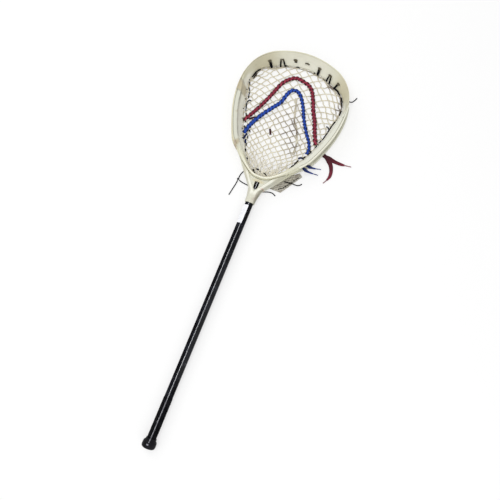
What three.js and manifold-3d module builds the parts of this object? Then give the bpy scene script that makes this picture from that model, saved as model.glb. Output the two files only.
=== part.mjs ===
// Lacrosse goalie stick, lying face up: the shaft runs along +Y towards the head, X goes across, Z is up.
// All lengths are in millimetres. Places along the stick are measured from the butt end.

import * as THREE from 'three';
import { mergeVertices } from 'three/addons/utils/BufferGeometryUtils.js';
import Module from 'manifold-3d';

const wasm = await Module();
wasm.setup();

// Shaft and butt
const shaftLength = 750;
const shaftHalfWidth = 11;
const shaftTopHalf = 2.2;
const shaftSideHalf = 4.4;
const shaftWall = 1.5;
const capRadius = 18.5;
const capLength = 27;
const capEndWall = 4;
const capSkirtRadius = 13.6;
const tapeLength = 106;
const tapeThickness = 0.8;
const labelLength = 54;
const labelThickness = 0.3;
const labelFromSocket = 9;

// Head
const rimHeight = 44;
const headHalfWidth = 160;
const basketLength = 393;
const rimToSocket = 71;
const socketDepth = 61;
const socketWall = 1.9;
const wallWidth = 27;
const scoopRun = 24.5;
const stopWidth = 7.5;
const windowLength = 24;
const windowHalfWidth = 6.5;
const archLift = 7.5;
const railFlare = 4;
const holeRadius = 2.4;
const topHolePitch = 40.5;
const sideHolePitch = 33;
const throatWall = 4.2;

// Pocket, laces and strings
const meshStrand = 2.4;
const meshThickness = 2;
const meshColumns = 9;
const laceWidth = 9;
const laceThickness = 4;
const stringWidth = 2.6;
const flapThickness = 4.5;
const tailWidth = 9;
const tailThickness = 3;
const blueTailWidth = 5;
const tipRadius = 1.2;
const redTipLength = 18;
const blueTipLength = 13;
const knotRadius = 3.6;
const screwHeadRadius = 3.8;
const screwHeadHeight = 2.4;
const screwShankRadius = 1.8;
const screwFromMouth = 30.5;

// Clearances
const gap = 0.3;
const stringGap = 0.6;
const floorGap = 0.5;
const overrun = 2;

// Places that follow from the sizes above
const shaftHeight = capRadius;
const shaftStart = capEndWall;
const shaftEnd = shaftStart + shaftLength;
const socketMouth = shaftEnd - socketDepth;
const rimStart = socketMouth + rimToSocket;
const stickLength = rimStart + basketLength;
const socketHalf = shaftHalfWidth + gap + socketWall;
const screwPlace = socketMouth + screwFromMouth;
const screwHoleRadius = screwShankRadius + gap;

// The front rim's outer line, from the ball stop's middle to the scoop's middle, as shares of
// the head's half width and of the basket's length.
const rimShares = [
  [0, 0], [0.09, 0.003], [0.19, 0.02], [0.31, 0.056], [0.45, 0.104], [0.6, 0.163], [0.7, 0.209],
  [0.78, 0.27], [0.8625, 0.351], [0.9375, 0.443], [0.984, 0.537], [1, 0.626], [0.99, 0.702],
  [0.956, 0.763], [0.9, 0.819], [0.8, 0.878], [0.656, 0.929], [0.4875, 0.962], [0.2625, 0.9885], [0, 1],
];

// The wall's section, as shares of its width inward from the rim line and of its height above its
// back edge. The three sections have matching corners, so that one runs smoothly into the next.
const sideShares = [
  [0, 0.9], [0.05, 0.985], [0.15, 1], [0.56, 0.935], [0.6, 0.87], [0.54, 0.81], [0.72, 0.47],
  [1, 0.13], [1, 0.03], [0.93, 0], [0.06, 0], [0, 0.04], [0, 0.3], [0.3, 0.36], [0.3, 0.8], [0.02, 0.86],
];
const scoopShares = [
  [0, 0.9], [0.04, 0.985], [0.14, 1], [0.34, 0.78], [0.38, 0.73], [0.41, 0.7], [0.66, 0.42],
  [0.95, 0.14], [1, 0.05], [0.96, 0], [0.76, 0], [0.72, 0.05], [0.53, 0.3], [0.34, 0.37], [0.22, 0.6],
  [0, 0.75],
];
const stopShares = [
  [0, 0.9], [0.08, 0.985], [0.6, 1], [0.73, 0.95], [0.78, 0.9], [0.8, 0.8], [0.9, 0.42],
  [1, 0.1], [1, 0.04], [0.93, 0], [0.06, 0], [0, 0.04], [0, 0.3], [0, 0.4], [0, 0.6], [0, 0.75],
];

// Along the basket, where one section gives way to the next and where the raised stop comes down,
// as shares of its length.
const stopToSideShares = [0.02, 0.2];
const liftShares = [0.17, 0.3];
const sideToScoopShares = [0.57, 0.77];

// The wall is narrower round the basket's upper corners: where that comes and goes, and by how much.
const cornerShares = [0.52, 0.74, 0.83, 0.94];
const cornerPinchShare = 0.42;

// The back rail, which is the section's outer corners low down, stands out more and more up the sides
// and ends short of the scoop.
const railCorners = { first: 10, last: 13 };
const railFlareShares = [0.45, 0.68];
const railEndShares = [0.745, 0.775];

// The throat's half width, top height and side groove from the socket's mouth to the walls: shares of
// the way from the mouth to the arms' top, of the head's half width, the rim's height and the wall's width.
const throatShares = [
  [0, 0.0825, 0.72, 0], [0.11, 0.09, 0.72, 0], [0.27, 0.12, 0.735, 0], [0.385, 0.205, 0.77, 0],
  [0.58, 0.345, 0.86, 0.1], [0.7, 0.435, 0.91, 0.3], [0.77, 0.488, 0.93, 0.42], [0.92, 0.62, 0.96, 0.45],
  [1, 0.68, 0.965, 0.45],
];
const throatGrooveShares = [0.12, 0.24, 0.84, 0.96];
const throatCornerShare = 0.5;
const armEdgeShares = [0.2, 0.5, 0.7];
const armTopShare = 0.2;

// The window over the shaft's end, as shares of its half width and length from its wide end.
const windowShares = [[0, -1], [1, -0.2], [0.8, 0], [-0.8, 0], [-1, -0.2]];
const windowTopShare = 0.7;

// String holes: where they stand on the scoop's face and the side walls, in shares of the face's run,
// the rim's height, the hole pitch and the way from the stop's middle to the scoop's.
const scoopHoleInsetShare = 0.62;
const scoopHoleHeightShare = 0.47;
const sideHoleHeightShare = 0.16;
const topHoleShares = [-3, -2, -1, 0, 1, 2, 3];
const sideHoleShares = [5.4, 6.4, 7.4, 8.4, 9.4, 10.4, 11.4, 12.4];
const stopHoleShares = [0.06, 0.15];
const redLaceHoleShare = 10.85;
const upperBlueLaceHoleShare = 12.65;
const lowerBlueLaceHoleShare = 13.08;
const rightTailHoleShare = 5.3;
const rightTailRootShares = [0.56, 0.2];

// The mesh: its rays' half angle, the apex they fan from, its cells' length to width and its edge cord.
const meshFanShare = 0.4;
const meshApexShare = 0.72;
const meshCellShare = 1.25;
const meshEdgeShare = 0.6;
const meshLiftShare = 0.8;

// Strings: the ends of their runs in hole pitches, and a hitch's way down the scoop's face in shares of
// the face's run, the rim's height and the way from its hole to its foot.
const topStringShare = 3.3;
const sideStringShares = [3.62, 12.6];
const throatStringShare = 12.8;
const hitchShares = [[0.66, 0.46, 0.1], [0.85, 0.27, 0.5], [1, 0.15, 0.8]];

// The butt cap's knob, as shares of its radius and length, and the lace tips' taper.
const capShares = [
  [0, 0], [0.62, 0], [0.86, 0.06], [0.97, 0.17], [1, 0.32], [0.97, 0.5], [0.88, 0.66], [0.79, 0.78],
];
const capSkirtShare = 0.92;
const screwTaperShare = 0.8;
const tipTaperShare = 0.7;

// Gathered end of the mesh and the stitches on it: shares of the head's half width and basket's length.
const flapShares = [
  [0.225, -0.02], [0.42, -0.02], [0.675, 0.143], [0.61, 0.163], [0.42, 0.107], [0.19, 0.045],
];
const flapStitchShares = [
  [0.356, -0.005], [0.412, 0.01], [0.475, 0.038], [0.525, 0.071], [0.581, 0.104], [0.619, 0.127],
];

// Shooting laces across the mesh, in the same shares.
const redLaceShares = [
  [-0.662, 0.412], [-0.569, 0.489], [-0.462, 0.588], [-0.381, 0.679], [-0.306, 0.763], [-0.225, 0.807],
  [-0.1, 0.84], [0.019, 0.835], [0.162, 0.817], [0.244, 0.789], [0.331, 0.723], [0.419, 0.636],
  [0.506, 0.567], [0.594, 0.476], [0.68, 0.4],
];
const blueLaceShares = [
  [-0.594, 0.305], [-0.55, 0.377], [-0.431, 0.476], [-0.294, 0.56], [-0.188, 0.623], [-0.138, 0.7],
  [-0.081, 0.738], [0.006, 0.745], [0.088, 0.723], [0.194, 0.659], [0.319, 0.552], [0.438, 0.468],
  [0.544, 0.405], [0.598, 0.354], [0.594, 0.31],
];

const rimSteps = 38;
const material = (color, roughness, metalness = 0) => (
  new THREE.MeshStandardMaterial({ color, roughness, metalness })
);
const ivoryPlastic = material(0xdcd9c4, 0.45);
const blackAnodised = material(0x0c0c10, 0.22, 0.6);
const blackRubber = material(0x141416, 0.6);
const blackTape = material(0x101014, 0.5);
const creamCord = material(0xcfc1a4, 0.9);
const redLace = material(0x8c2036, 0.8);
const blueLace = material(0x1f3f9c, 0.8);
const blackString = material(0x18181c, 0.7);
const whitePaper = material(0xe8e8ee, 0.8);
const steel = material(0x8f9296, 0.35, 1);

// Mesh and solid helpers

function toSolid(geometry) {
  const bare = geometry.clone();
  bare.deleteAttribute('normal');
  bare.deleteAttribute('uv');
  const merged = mergeVertices(bare, 1e-4);
  return new wasm.Manifold(new wasm.Mesh({
    numProp: 3,
    vertProperties: new Float32Array(merged.attributes.position.array),
    triVerts: new Uint32Array(merged.index.array),
  }));
}

function toGeometry(solid) {
  const mesh = solid.getMesh();
  const geometry = new THREE.BufferGeometry();
  geometry.setAttribute('position', new THREE.BufferAttribute(new Float32Array(mesh.vertProperties), 3));
  geometry.setIndex(new THREE.BufferAttribute(new Uint32Array(mesh.triVerts), 1));
  geometry.computeVertexNormals();
  return geometry;
}

function closedGeometry(points, faces) {
  const geometry = new THREE.BufferGeometry();
  const places = points.flatMap((p) => p.toArray());
  geometry.setAttribute('position', new THREE.Float32BufferAttribute(places, 3));
  let volume = 0;
  for (const [a, b, c] of faces) {
    volume += points[a].dot(new THREE.Vector3().crossVectors(points[b], points[c]));
  }
  const outward = volume > 0 ? faces : faces.map(([a, b, c]) => [a, c, b]);
  geometry.setIndex(outward.flat());
  geometry.computeVertexNormals();
  return geometry;
}

// Triangles that fill a flat ring of points, turning the way the ring does.
function fillRing(ring) {
  const normal = new THREE.Vector3();
  ring.forEach((p, i) => normal.add(new THREE.Vector3().crossVectors(p, ring[(i + 1) % ring.length])));
  const steepest = Math.max(...normal.toArray().map(Math.abs));
  const [wide, tall] = ['x', 'y', 'z'].filter((axis) => Math.abs(normal[axis]) < steepest);
  const flat = ring.map((p) => new THREE.Vector2(p[wide], p[tall]));
  const turn = THREE.ShapeUtils.area(flat);
  return THREE.ShapeUtils.triangulateShape(flat, []).map(([a, b, c]) => (
    THREE.ShapeUtils.area([flat[a], flat[b], flat[c]]) * turn > 0 ? [a, b, c] : [a, c, b]
  ));
}

// A solid through a row of like rings of points, closed on itself or capped at its ends.
function loft(rings, isLoop) {
  const count = rings[0].length;
  const faces = [];
  const spans = isLoop ? rings.length : rings.length - 1;
  for (let i = 0; i < spans; i += 1) {
    const here = i * count;
    const next = ((i + 1) % rings.length) * count;
    for (let j = 0; j < count; j += 1) {
      const k = (j + 1) % count;
      faces.push([here + j, next + j, next + k], [here + j, next + k, here + k]);
    }
  }
  if (!isLoop) {
    const last = (rings.length - 1) * count;
    faces.push(...fillRing(rings[0]));
    faces.push(...fillRing(rings[rings.length - 1]).map(([a, b, c]) => [last + a, last + c, last + b]));
  }
  return closedGeometry(rings.flat(), faces);
}

// A tube of oval section along hand-placed points; the section's width lies flat.
function tube(points, width, thickness, steps, sides = 8) {
  const section = new THREE.Shape();
  for (let i = 0; i < sides; i += 1) {
    const angle = (2 * Math.PI * (i + 0.5)) / sides;
    const x = (Math.cos(angle) * thickness) / 2;
    const y = (Math.sin(angle) * width) / 2;
    if (i === 0) section.moveTo(x, y);
    else section.lineTo(x, y);
  }
  const path = new THREE.CatmullRomCurve3(points.map(([x, y, z]) => new THREE.Vector3(x, y, z)));
  return new THREE.ExtrudeGeometry(section, { extrudePath: path, steps });
}

function union(solids) {
  return solids.reduce((whole, solid) => whole.add(solid));
}

const blend = (low, high, value) => THREE.MathUtils.smoothstep(value, low, high);

// The rim line and the wall along it

const rimHalf = rimShares.map(([x, y]) => [x * headHalfWidth, rimStart + y * basketLength]);
const rimLoop = [
  ...rimHalf,
  ...rimHalf.slice(1, -1).reverse().map(([x, y]) => [-x, y]),
];
const rimCurve = new THREE.CatmullRomCurve3(rimLoop.map(([x, y]) => new THREE.Vector3(x, y, 0)), true);
rimCurve.arcLengthDivisions = 2000;
const rimPerimeter = rimCurve.getLength();

// How high the back edge stands: raised at the throat, down on the floor past it.
function liftAt(y) {
  return archLift * (1 - blend(liftShares[0], liftShares[1], (y - rimStart) / basketLength));
}

// A place on the wall: distance is measured along the rim from the scoop's middle, positive to +X.
function wallStation(distance) {
  const u = THREE.MathUtils.euclideanModulo(0.5 - distance / rimPerimeter, 1);
  const point = rimCurve.getPointAt(u);
  const tangent = rimCurve.getTangentAt(u);
  const inward = new THREE.Vector3(-tangent.y, tangent.x, 0);
  const along = (point.y - rimStart) / basketLength;
  const stop = 1 - blend(stopToSideShares[0], stopToSideShares[1], along);
  const scoop = blend(sideToScoopShares[0], sideToScoopShares[1], along);
  const side = 1 - stop - scoop;
  const corner = blend(cornerShares[0], cornerShares[1], along) * (1 - blend(cornerShares[2], cornerShares[3], along));
  const pinch = 1 - cornerPinchShare * corner;
  const width = pinch * (stop * stopWidth + side * wallWidth + scoop * scoopRun);
  const lift = liftAt(point.y);
  const railEnd = blend(railEndShares[0], railEndShares[1], along);
  const flare = railFlare * blend(railFlareShares[0], railFlareShares[1], along) * (1 - railEnd);
  const at = (inset, height) => point.clone().addScaledVector(inward, inset).setZ(height);
  const ring = sideShares.map(([x, z], i) => {
    const [stopX, stopZ] = stopShares[i];
    const [scoopX, scoopZ] = scoopShares[i];
    const isRail = i >= railCorners.first && i <= railCorners.last;
    const toScoop = isRail ? railEnd : scoop;
    const toSide = 1 - stop - toScoop;
    const inset = pinch * (stop * stopX * stopWidth + toSide * x * wallWidth + toScoop * scoopX * scoopRun);
    const share = stop * stopZ + toSide * z + toScoop * scoopZ;
    const standOut = isRail && i < railCorners.last ? flare : 0;
    return at(inset - standOut, lift + share * (rimHeight - lift));
  });
  return { point, tangent, inward, stop, side, scoop, pinch, width, lift, at, ring };
}

const rimStation = (index, steps) => wallStation((index / steps) * rimPerimeter);

// A drill along a direction, centred on a point.
function drill(center, direction, radius, length, sides = 6) {
  const rod = new THREE.CylinderGeometry(radius, radius, length, sides);
  rod.applyQuaternion(new THREE.Quaternion().setFromUnitVectors(new THREE.Vector3(0, 1, 0), direction));
  rod.translate(center.x, center.y, center.z);
  return toSolid(rod);
}

// Holes for the strings: a row along the scoop's face, a row low in each side wall, four in the ball stop.
const scoopHoleInset = scoopHoleInsetShare * scoopRun;
const scoopHoleHeight = scoopHoleHeightShare * rimHeight;
const sideHoleHeight = sideHoleHeightShare * rimHeight;
const topHoles = topHoleShares.map((share) => share * topHolePitch);
const sideHoles = sideHoleShares.map((share) => share * sideHolePitch);
const stopHoles = stopHoleShares.map((share) => ((1 - share) * rimPerimeter) / 2);
const redLaceHole = redLaceHoleShare * sideHolePitch;
const blueLaceHoles = [upperBlueLaceHoleShare, lowerBlueLaceHoleShare].map((share) => share * sideHolePitch);
const rightTailHole = rightTailHoleShare * sideHolePitch;

// The throat's outer skin, or with a wall and no floor the hollow behind it
function throatRings(wall, low) {
  const armTop = rimStart + armTopShare * basketLength;
  const corner = throatCornerShare * socketHalf;
  return throatShares.map(([along, half, top, grooveShare]) => {
    const y = socketMouth + along * (armTop - socketMouth);
    const x = half * headHalfWidth - wall;
    const high = top * rimHeight - wall;
    const grooveX = x - grooveShare * wallWidth;
    const span = high - low - 2 * corner;
    const [g0, g1, g2, g3] = throatGrooveShares.map((share) => low + corner + share * span);
    const [socketEnd, armStart, sharpening] = armEdgeShares;
    const edge = corner * (1 - sharpening * blend(socketEnd, armStart, along));
    const right = [
      [x - edge, low], [x, low + edge], [x, g0], [grooveX, g1], [grooveX, g2], [x, g3],
      [x, high - corner], [x - corner, high],
    ];
    const left = right.map(([px, pz]) => [-px, pz]).reverse();
    return [...right, ...left].map(([px, pz]) => new THREE.Vector3(px, y, pz));
  });
}

// Shaft octagon: narrow flats on top and at the sides, wide facets between them, grown by an offset.
function shaftOctagon(offset) {
  const side = shaftHalfWidth + offset;
  const grown = offset * Math.tan(Math.PI / 8);
  const top = shaftTopHalf + grown;
  const flank = shaftSideHalf + grown;
  return [
    [top, side], [side, flank], [side, -flank], [top, -side],
    [-top, -side], [-side, -flank], [-side, flank], [-top, side],
  ];
}

function octagonBar(offset, start, end) {
  const ring = (y) => shaftOctagon(offset).map(([x, z]) => new THREE.Vector3(x, y, shaftHeight + z));
  return toSolid(loft([ring(start), ring(end)], false));
}

// Moulded head: hoop, ball stop, throat arms and socket in one piece
function headFrame() {
  const sections = Array.from({ length: 2 * rimSteps }, (_, i) => rimStation(i, 2 * rimSteps).ring);
  const hoop = toSolid(loft(sections, true));
  const socketLow = shaftHeight - socketHalf;
  const basketRing = (height) => Array.from({ length: rimSteps }, (_, i) => {
    const station = rimStation(i, rimSteps);
    return station.at(station.width / 2, height);
  });
  const basketTool = toSolid(loft([basketRing(-overrun), basketRing(rimHeight + overrun)], false));
  const socketTube = octagonBar(gap + socketWall, socketMouth, rimStart + stopWidth);
  const hollow = toSolid(loft(throatHollowRings(), false)).subtract(socketTube);
  const throat = toSolid(loft(throatRings(0, socketLow), false)).subtract(hollow);
  const windowTop = rimStart - socketHalf * windowTopShare;
  const windowRing = (z) => windowShares.map(
    ([x, y]) => new THREE.Vector3(x * windowHalfWidth, windowTop + y * windowLength, z),
  );
  const windowTool = toSolid(loft([windowRing(shaftHeight), windowRing(rimHeight + overrun)], false));
  let solid = throat.subtract(basketTool).add(hoop);
  solid = solid.subtract(octagonBar(gap, socketMouth - overrun, shaftEnd + gap)).subtract(windowTool);
  const drills = [];
  for (const distance of topHoles) {
    const station = wallStation(distance);
    const direction = station.inward.clone().setZ(scoopRun / rimHeight).normalize();
    const center = station.at(station.pinch * scoopHoleInset, scoopHoleHeight);
    drills.push(drill(center, direction, holeRadius, wallWidth));
  }
  for (const side of [-1, 1]) {
    for (const distance of [...sideHoles, redLaceHole]) {
      const station = wallStation(side * distance);
      const center = station.at(station.width / 2, station.lift + sideHoleHeight);
      drills.push(drill(center, station.inward, holeRadius, 2 * wallWidth));
    }
    for (const distance of blueLaceHoles) {
      const station = wallStation(side * distance);
      const center = station.at(station.width / 2, station.lift + rimHeight / 2);
      drills.push(drill(center, station.inward, holeRadius, 2 * wallWidth));
    }
    for (const distance of stopHoles) {
      const station = wallStation(side * distance);
      const center = station.at(station.width / 2, station.lift + sideHoleHeight / 2);
      drills.push(drill(center, station.inward, holeRadius / 2, wallWidth));
    }
  }
  const screwSpot = new THREE.Vector3(0, screwPlace, socketLow);
  const screwHole = drill(screwSpot, new THREE.Vector3(0, 0, 1), screwHoleRadius, socketHalf, 16);
  return toGeometry(solid.subtract(union(drills)).subtract(screwHole));
}

// The hollow behind the throat, open at the back, between the socket and the arms' tops
function throatHollowRings() {
  const rings = throatRings(throatWall, -overrun);
  return rings.slice(throatShares.findIndex(([, , , groove]) => groove > 0) - 1, -1);
}

// The mesh hangs inside the walls' back edge and rises to the ball stop near the throat
const meshLow = floorGap + meshThickness + gap;
const meshEdgeInset = stringGap + stringWidth + stringGap;
const meshLevel = (y) => meshLow + liftAt(y) * meshLiftShare;

function edgePoint(distance, inset, height = 0) {
  const station = wallStation(distance);
  const point = station.at(station.width + inset, 0);
  return point.setZ(meshLevel(point.y) + height);
}

// Diamonds between rays that fan out from below the throat: each cell is a plate with a hole, and
// neighbours share their outer corners, so that a strand is two half-strands wide.
function meshLattice() {
  const apexY = rimStart - headHalfWidth * meshApexShare;
  const halfStep = meshFanShare / meshColumns;
  const growth = Math.exp(halfStep * meshCellShare);
  const firstRadius = rimStart - apexY;
  const columns = meshColumns + 2;
  const rows = Math.ceil(Math.log((stickLength - apexY) / firstRadius) / Math.log(growth));
  const points = [];
  const faces = [];
  const knots = new Map();
  const openSides = new Map();
  const knotPlace = ([i, j]) => {
    const radius = firstRadius * growth ** j;
    return new THREE.Vector2(radius * Math.sin(i * halfStep), apexY + radius * Math.cos(i * halfStep));
  };
  const addPair = ({ x, y }) => [1, -1].map((face) => {
    points.push(new THREE.Vector3(x, y, meshLevel(y) + (face * meshThickness) / 2));
    return points.length - 1;
  });
  const addKnot = (corner) => {
    const key = corner.join();
    if (!knots.has(key)) knots.set(key, addPair(knotPlace(corner)));
    return knots.get(key);
  };
  const addCell = (i, j) => {
    const corners = [[i - 1, j], [i, j + 1], [i + 1, j], [i, j - 1]];
    const places = corners.map(knotPlace);
    const center = new THREE.Vector2();
    for (const spot of places) center.addScaledVector(spot, 1 / places.length);
    const across = places[0].distanceTo(places[2]) / 2;
    const along = places[1].distanceTo(places[3]) / 2;
    const inner = 1 - ((meshStrand / 2) * Math.hypot(across, along)) / (across * along);
    const outerPairs = corners.map(addKnot);
    const innerPairs = places.map((spot) => addPair(center.clone().lerp(spot, inner)));
    for (let k = 0; k < corners.length; k += 1) {
      const next = (k + 1) % corners.length;
      const [a, b, c, d] = [outerPairs[k], outerPairs[next], innerPairs[next], innerPairs[k]];
      faces.push([a[0], d[0], c[0]], [a[0], c[0], b[0]], [a[1], c[1], d[1]], [a[1], b[1], c[1]]);
      faces.push([d[0], d[1], c[1]], [d[0], c[1], c[0]]);
      const key = [a[0], b[0]].sort((m, n) => m - n).join();
      openSides.set(key, openSides.has(key) ? null : [a, b]);
    }
  };
  for (let j = 0; j <= rows; j += 1) {
    for (let i = -columns; i <= columns; i += 1) {
      if (Math.abs(i + j) % 2 === 1) addCell(i, j);
    }
  }
  for (const side of openSides.values()) {
    if (!side) continue;
    const [a, b] = side;
    faces.push([a[0], b[0], b[1]], [a[0], b[1], a[1]]);
  }
  return toSolid(closedGeometry(points, faces));
}

// Pocket mesh: the lattice cut to the basket and bound by its edge cord
function pocketMesh() {
  const edgeSteps = 2 * rimSteps;
  const along = Array.from({ length: edgeSteps }, (_, i) => (i / edgeSteps) * rimPerimeter);
  const cut = meshEdgeInset + meshStrand / 4;
  const outline = (height) => along.map((distance) => edgePoint(distance, cut).setZ(height));
  const cutter = toSolid(loft([outline(-overrun), outline(rimHeight)], false));
  const half = meshEdgeShare * meshThickness;
  const corners = [[0, half], [meshStrand, half], [meshStrand, -half], [0, -half]];
  const border = along.map((distance) => corners.map(([x, z]) => edgePoint(distance, meshEdgeInset + x, z)));
  return toGeometry(meshLattice().intersect(cutter).add(toSolid(loft(border, true))));
}

// Strings

const stringInset = stringGap + stringWidth / 2;
const cord = (places, steps) => (
  toSolid(tube(places.map((p) => p.toArray()), stringWidth, stringWidth, steps, 6))
);

function stringRun(from, to, step) {
  const count = Math.max(2, Math.round(Math.abs(to - from) / step));
  const along = Array.from({ length: count + 1 }, (_, i) => from + ((to - from) * i) / count);
  return cord(along.map((distance) => edgePoint(distance, stringInset)), count);
}

// A short turn of string from the run along the mesh into a hole in the wall
function holeTurn(distance) {
  const station = wallStation(distance);
  const holeZ = station.lift + sideHoleHeight;
  const mouth = station.at(station.width + stringInset, holeZ);
  const inside = station.at(station.width - stringWidth, holeZ);
  return cord([edgePoint(distance, stringInset), mouth, inside], 3);
}

// A hitch on the scoop's face: out of its hole, down the face and onto the string below
function scoopHitch(holeDistance, footDistance) {
  const station = wallStation(holeDistance);
  const offFace = new THREE.Vector2(rimHeight, scoopRun).normalize().multiplyScalar(stringInset + gap);
  const onFace = hitchShares.map(([inset, height, share]) => {
    const base = wallStation(THREE.MathUtils.lerp(holeDistance, footDistance, share));
    return base.at(base.pinch * inset * scoopRun + offFace.x, height * rimHeight + offFace.y);
  });
  const inHole = station.at(station.pinch * scoopHoleInset - offFace.x, scoopHoleHeight - offFace.y);
  return cord([inHole, ...onFace, edgePoint(footDistance, stringInset)], 6);
}

function topString() {
  const reach = topStringShare * topHolePitch;
  const spread = topHolePitch / 6;
  const hitches = topHoles.filter((hole) => hole !== 0).flatMap((hole) => (
    Math.abs(hole) === 2 * topHolePitch
      ? [scoopHitch(hole, hole - spread), scoopHitch(hole, hole + spread)]
      : [scoopHitch(hole, hole - Math.sign(hole) * stringWidth)]
  ));
  return toGeometry(union([stringRun(-reach, reach, topHolePitch / 3), ...hitches]));
}

function sideString(side) {
  const [start, end] = [sideStringShares[0] * topHolePitch, sideStringShares[1] * sideHolePitch];
  const run = stringRun(side * start, side * end, sideHolePitch / 4);
  return toGeometry(union([run, ...sideHoles.map((hole) => holeTurn(side * hole))]));
}

function throatString() {
  const end = throatStringShare * sideHolePitch;
  return toGeometry(stringRun(end, rimPerimeter - end, sideHolePitch / 3));
}

// Shaft, cap, tape, label and screw

function shaft() {
  const outer = octagonBar(0, shaftStart, shaftEnd);
  const inner = octagonBar(-shaftWall, shaftStart - overrun, shaftEnd + overrun);
  const screwSpot = new THREE.Vector3(0, screwPlace, shaftHeight - shaftHalfWidth);
  const screwHole = drill(screwSpot, new THREE.Vector3(0, 0, 1), screwHoleRadius, shaftHalfWidth, 16);
  return toGeometry(outer.subtract(inner).subtract(screwHole));
}

function buttCap() {
  const outline = capShares.map(([r, y]) => new THREE.Vector2(r * capRadius, y * capLength));
  outline.push(new THREE.Vector2(capSkirtRadius, capSkirtShare * capLength));
  outline.push(new THREE.Vector2(capSkirtRadius, capLength));
  outline.push(new THREE.Vector2(0, capLength));
  const knob = new THREE.LatheGeometry(outline, 28).translate(0, 0, shaftHeight);
  return toGeometry(toSolid(knob).subtract(octagonBar(gap, shaftStart - gap, capLength + overrun)));
}

function gripTape() {
  const start = capLength + gap;
  const end = start + tapeLength;
  const inner = octagonBar(gap, start - overrun, end + overrun);
  return toGeometry(octagonBar(gap + tapeThickness, start, end).subtract(inner));
}

// A strip bent round the shaft's upper left edge
function shaftLabel() {
  const end = socketMouth - labelFromSocket;
  const edge = (offset) => {
    const corners = shaftOctagon(offset);
    const [side] = corners[6];
    return [corners[7], corners[6], [side, 0]];
  };
  const section = [...edge(gap + labelThickness), ...edge(gap).reverse()];
  const ring = (y) => section.map(([x, z]) => new THREE.Vector3(x, y, shaftHeight + z));
  return loft([ring(end - labelLength), ring(end)], false);
}

function headScrew() {
  const headTop = shaftHeight - socketHalf - gap;
  const headLow = headTop - screwHeadHeight;
  const end = shaftHeight - shaftHalfWidth / 3;
  const outline = [
    [0, headLow],
    [screwTaperShare * screwHeadRadius, headLow],
    [screwHeadRadius, headLow + screwHeadHeight / 3],
    [screwHeadRadius, headTop],
    [screwShankRadius, headTop],
    [screwShankRadius, end - screwShankRadius],
    [0, end],
  ];
  const screw = new THREE.LatheGeometry(outline.map(([r, z]) => new THREE.Vector2(r, z)), 16);
  return screw.rotateX(Math.PI / 2).translate(0, screwPlace, 0);
}

// Gathered end of the mesh, a thick pad behind the right throat arm

const onHead = ([x, y]) => [x * headHalfWidth, rimStart + y * basketLength];

function meshEndFlap() {
  const ring = (z) => flapShares.map(onHead).map(([x, y]) => new THREE.Vector3(x, y, z));
  return loft([ring(floorGap), ring(floorGap + flapThickness)], false);
}

function flapStitch() {
  const thickness = stringWidth - gap;
  const height = floorGap + flapThickness + gap + thickness / 2;
  return tube(flapStitchShares.map((share) => [...onHead(share), height]), thickness, thickness, 10, 6);
}

// A flat lace across the mesh, lying on it
function shootingLace(shares) {
  const height = meshLow + meshThickness / 2 + gap + laceThickness / 2;
  const places = shares.map(onHead).map(([x, y]) => [x, y, height + liftAt(y)]);
  return tube(places, laceWidth, laceThickness, 24);
}

// Tails. Each starts at the wall or under an arm; its other points are hand-placed, and heights are
// above the floor. A tail that starts at the wall is laid out from there.

function wallRoute(distance, inset, height, steps) {
  const root = wallStation(distance).at(inset, height);
  return [root.toArray(), ...steps.map(([x, y, z]) => [root.x + x, root.y + y, height + z])];
}

function grooveRoute(distance, steps) {
  const station = wallStation(distance);
  const floorShare = sideShares[13][1];
  const depth = station.side * sideShares[13][0] * wallWidth;
  const height = station.lift + floorShare * (rimHeight - station.lift) + stringGap + tailThickness / 2;
  return wallRoute(distance, depth - stringGap, height, steps);
}

const redLongRoute = wallRoute(redLaceHole, -stringGap, floorGap + tailThickness, [
  [4.6, -1.8, 0], [11, -2.4, -1.4], [17.6, -2.9, -1.8], [37.6, -6.9, -1.8], [55.6, -7.9, -1.8],
  [67.6, -6.9, -1.8],
]);
const redCurvedRoute = wallRoute(redLaceHole, -stringGap, floorGap + 2 * tailThickness + gap, [
  [4.6, -1.8, 0], [12, -5, -0.8], [20, -10.5, -2.4], [27.6, -17, -4.2], [33, -24.5, -4.9],
  [38.5, -38.5, -5], [39.6, -53.5, -5], [35.6, -65.5, -5],
]);
const blueUpperRoute = grooveRoute(blueLaceHoles[0], [
  [4.2, -2.6, 0], [9.6, -3, -1.6], [15.5, -1.2, -7], [20.6, 1.2, -12.6], [25.6, 3.6, -17.2],
  [28.4, 4.6, -18.4],
]);
const blueLowerRoute = grooveRoute(blueLaceHoles[1], [
  [3.8, -3.2, 0], [9, -5.2, -1.4], [14.6, -5.4, -6], [20.4, -4.2, -12], [27, -2.6, -17.4], [34, -1.6, -19.8],
]);
const [rightRootShare, rightHeightShare] = rightTailRootShares;
const rightRootInset = wallStation(rightTailHole).pinch * rightRootShare * scoopRun;
const rightTailRoute = wallRoute(rightTailHole, rightRootInset, rightHeightShare * rimHeight, [
  [4.4, 0.6, 0], [10, 0.8, -1.4], [16, 1.4, -3.6], [21, 4.4, -5.6], [26, 12.4, -7.1], [29.8, 21.4, -7.2],
]);
const leftRootRoute = [
  [-45, 785, 5.6], [-51, 778.5, 3.6], [-55.5, 772, 2.2], [-58, 763, 1.7], [-58.5, 754.2, 2.2],
];
const leftTailRoute = [
  [-58.8, 746.4, 2.4], [-60, 735, 1.6], [-62.5, 720, 1.6], [-66, 699, 1.6],
];
const leftBranchRoute = [
  [-54.8, 748.8, 2.6], [-45, 746, 1.7], [-36, 744.6, 1.7], [-28, 743.6, 2.4], [-21.5, 743, 3.4],
];
const throatTailRoute = [
  [16, 738, 3.6], [24, 741.5, 2.8], [36, 746, 1.7], [47, 746.5, 1.6], [57, 742, 1.6],
];
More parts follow.
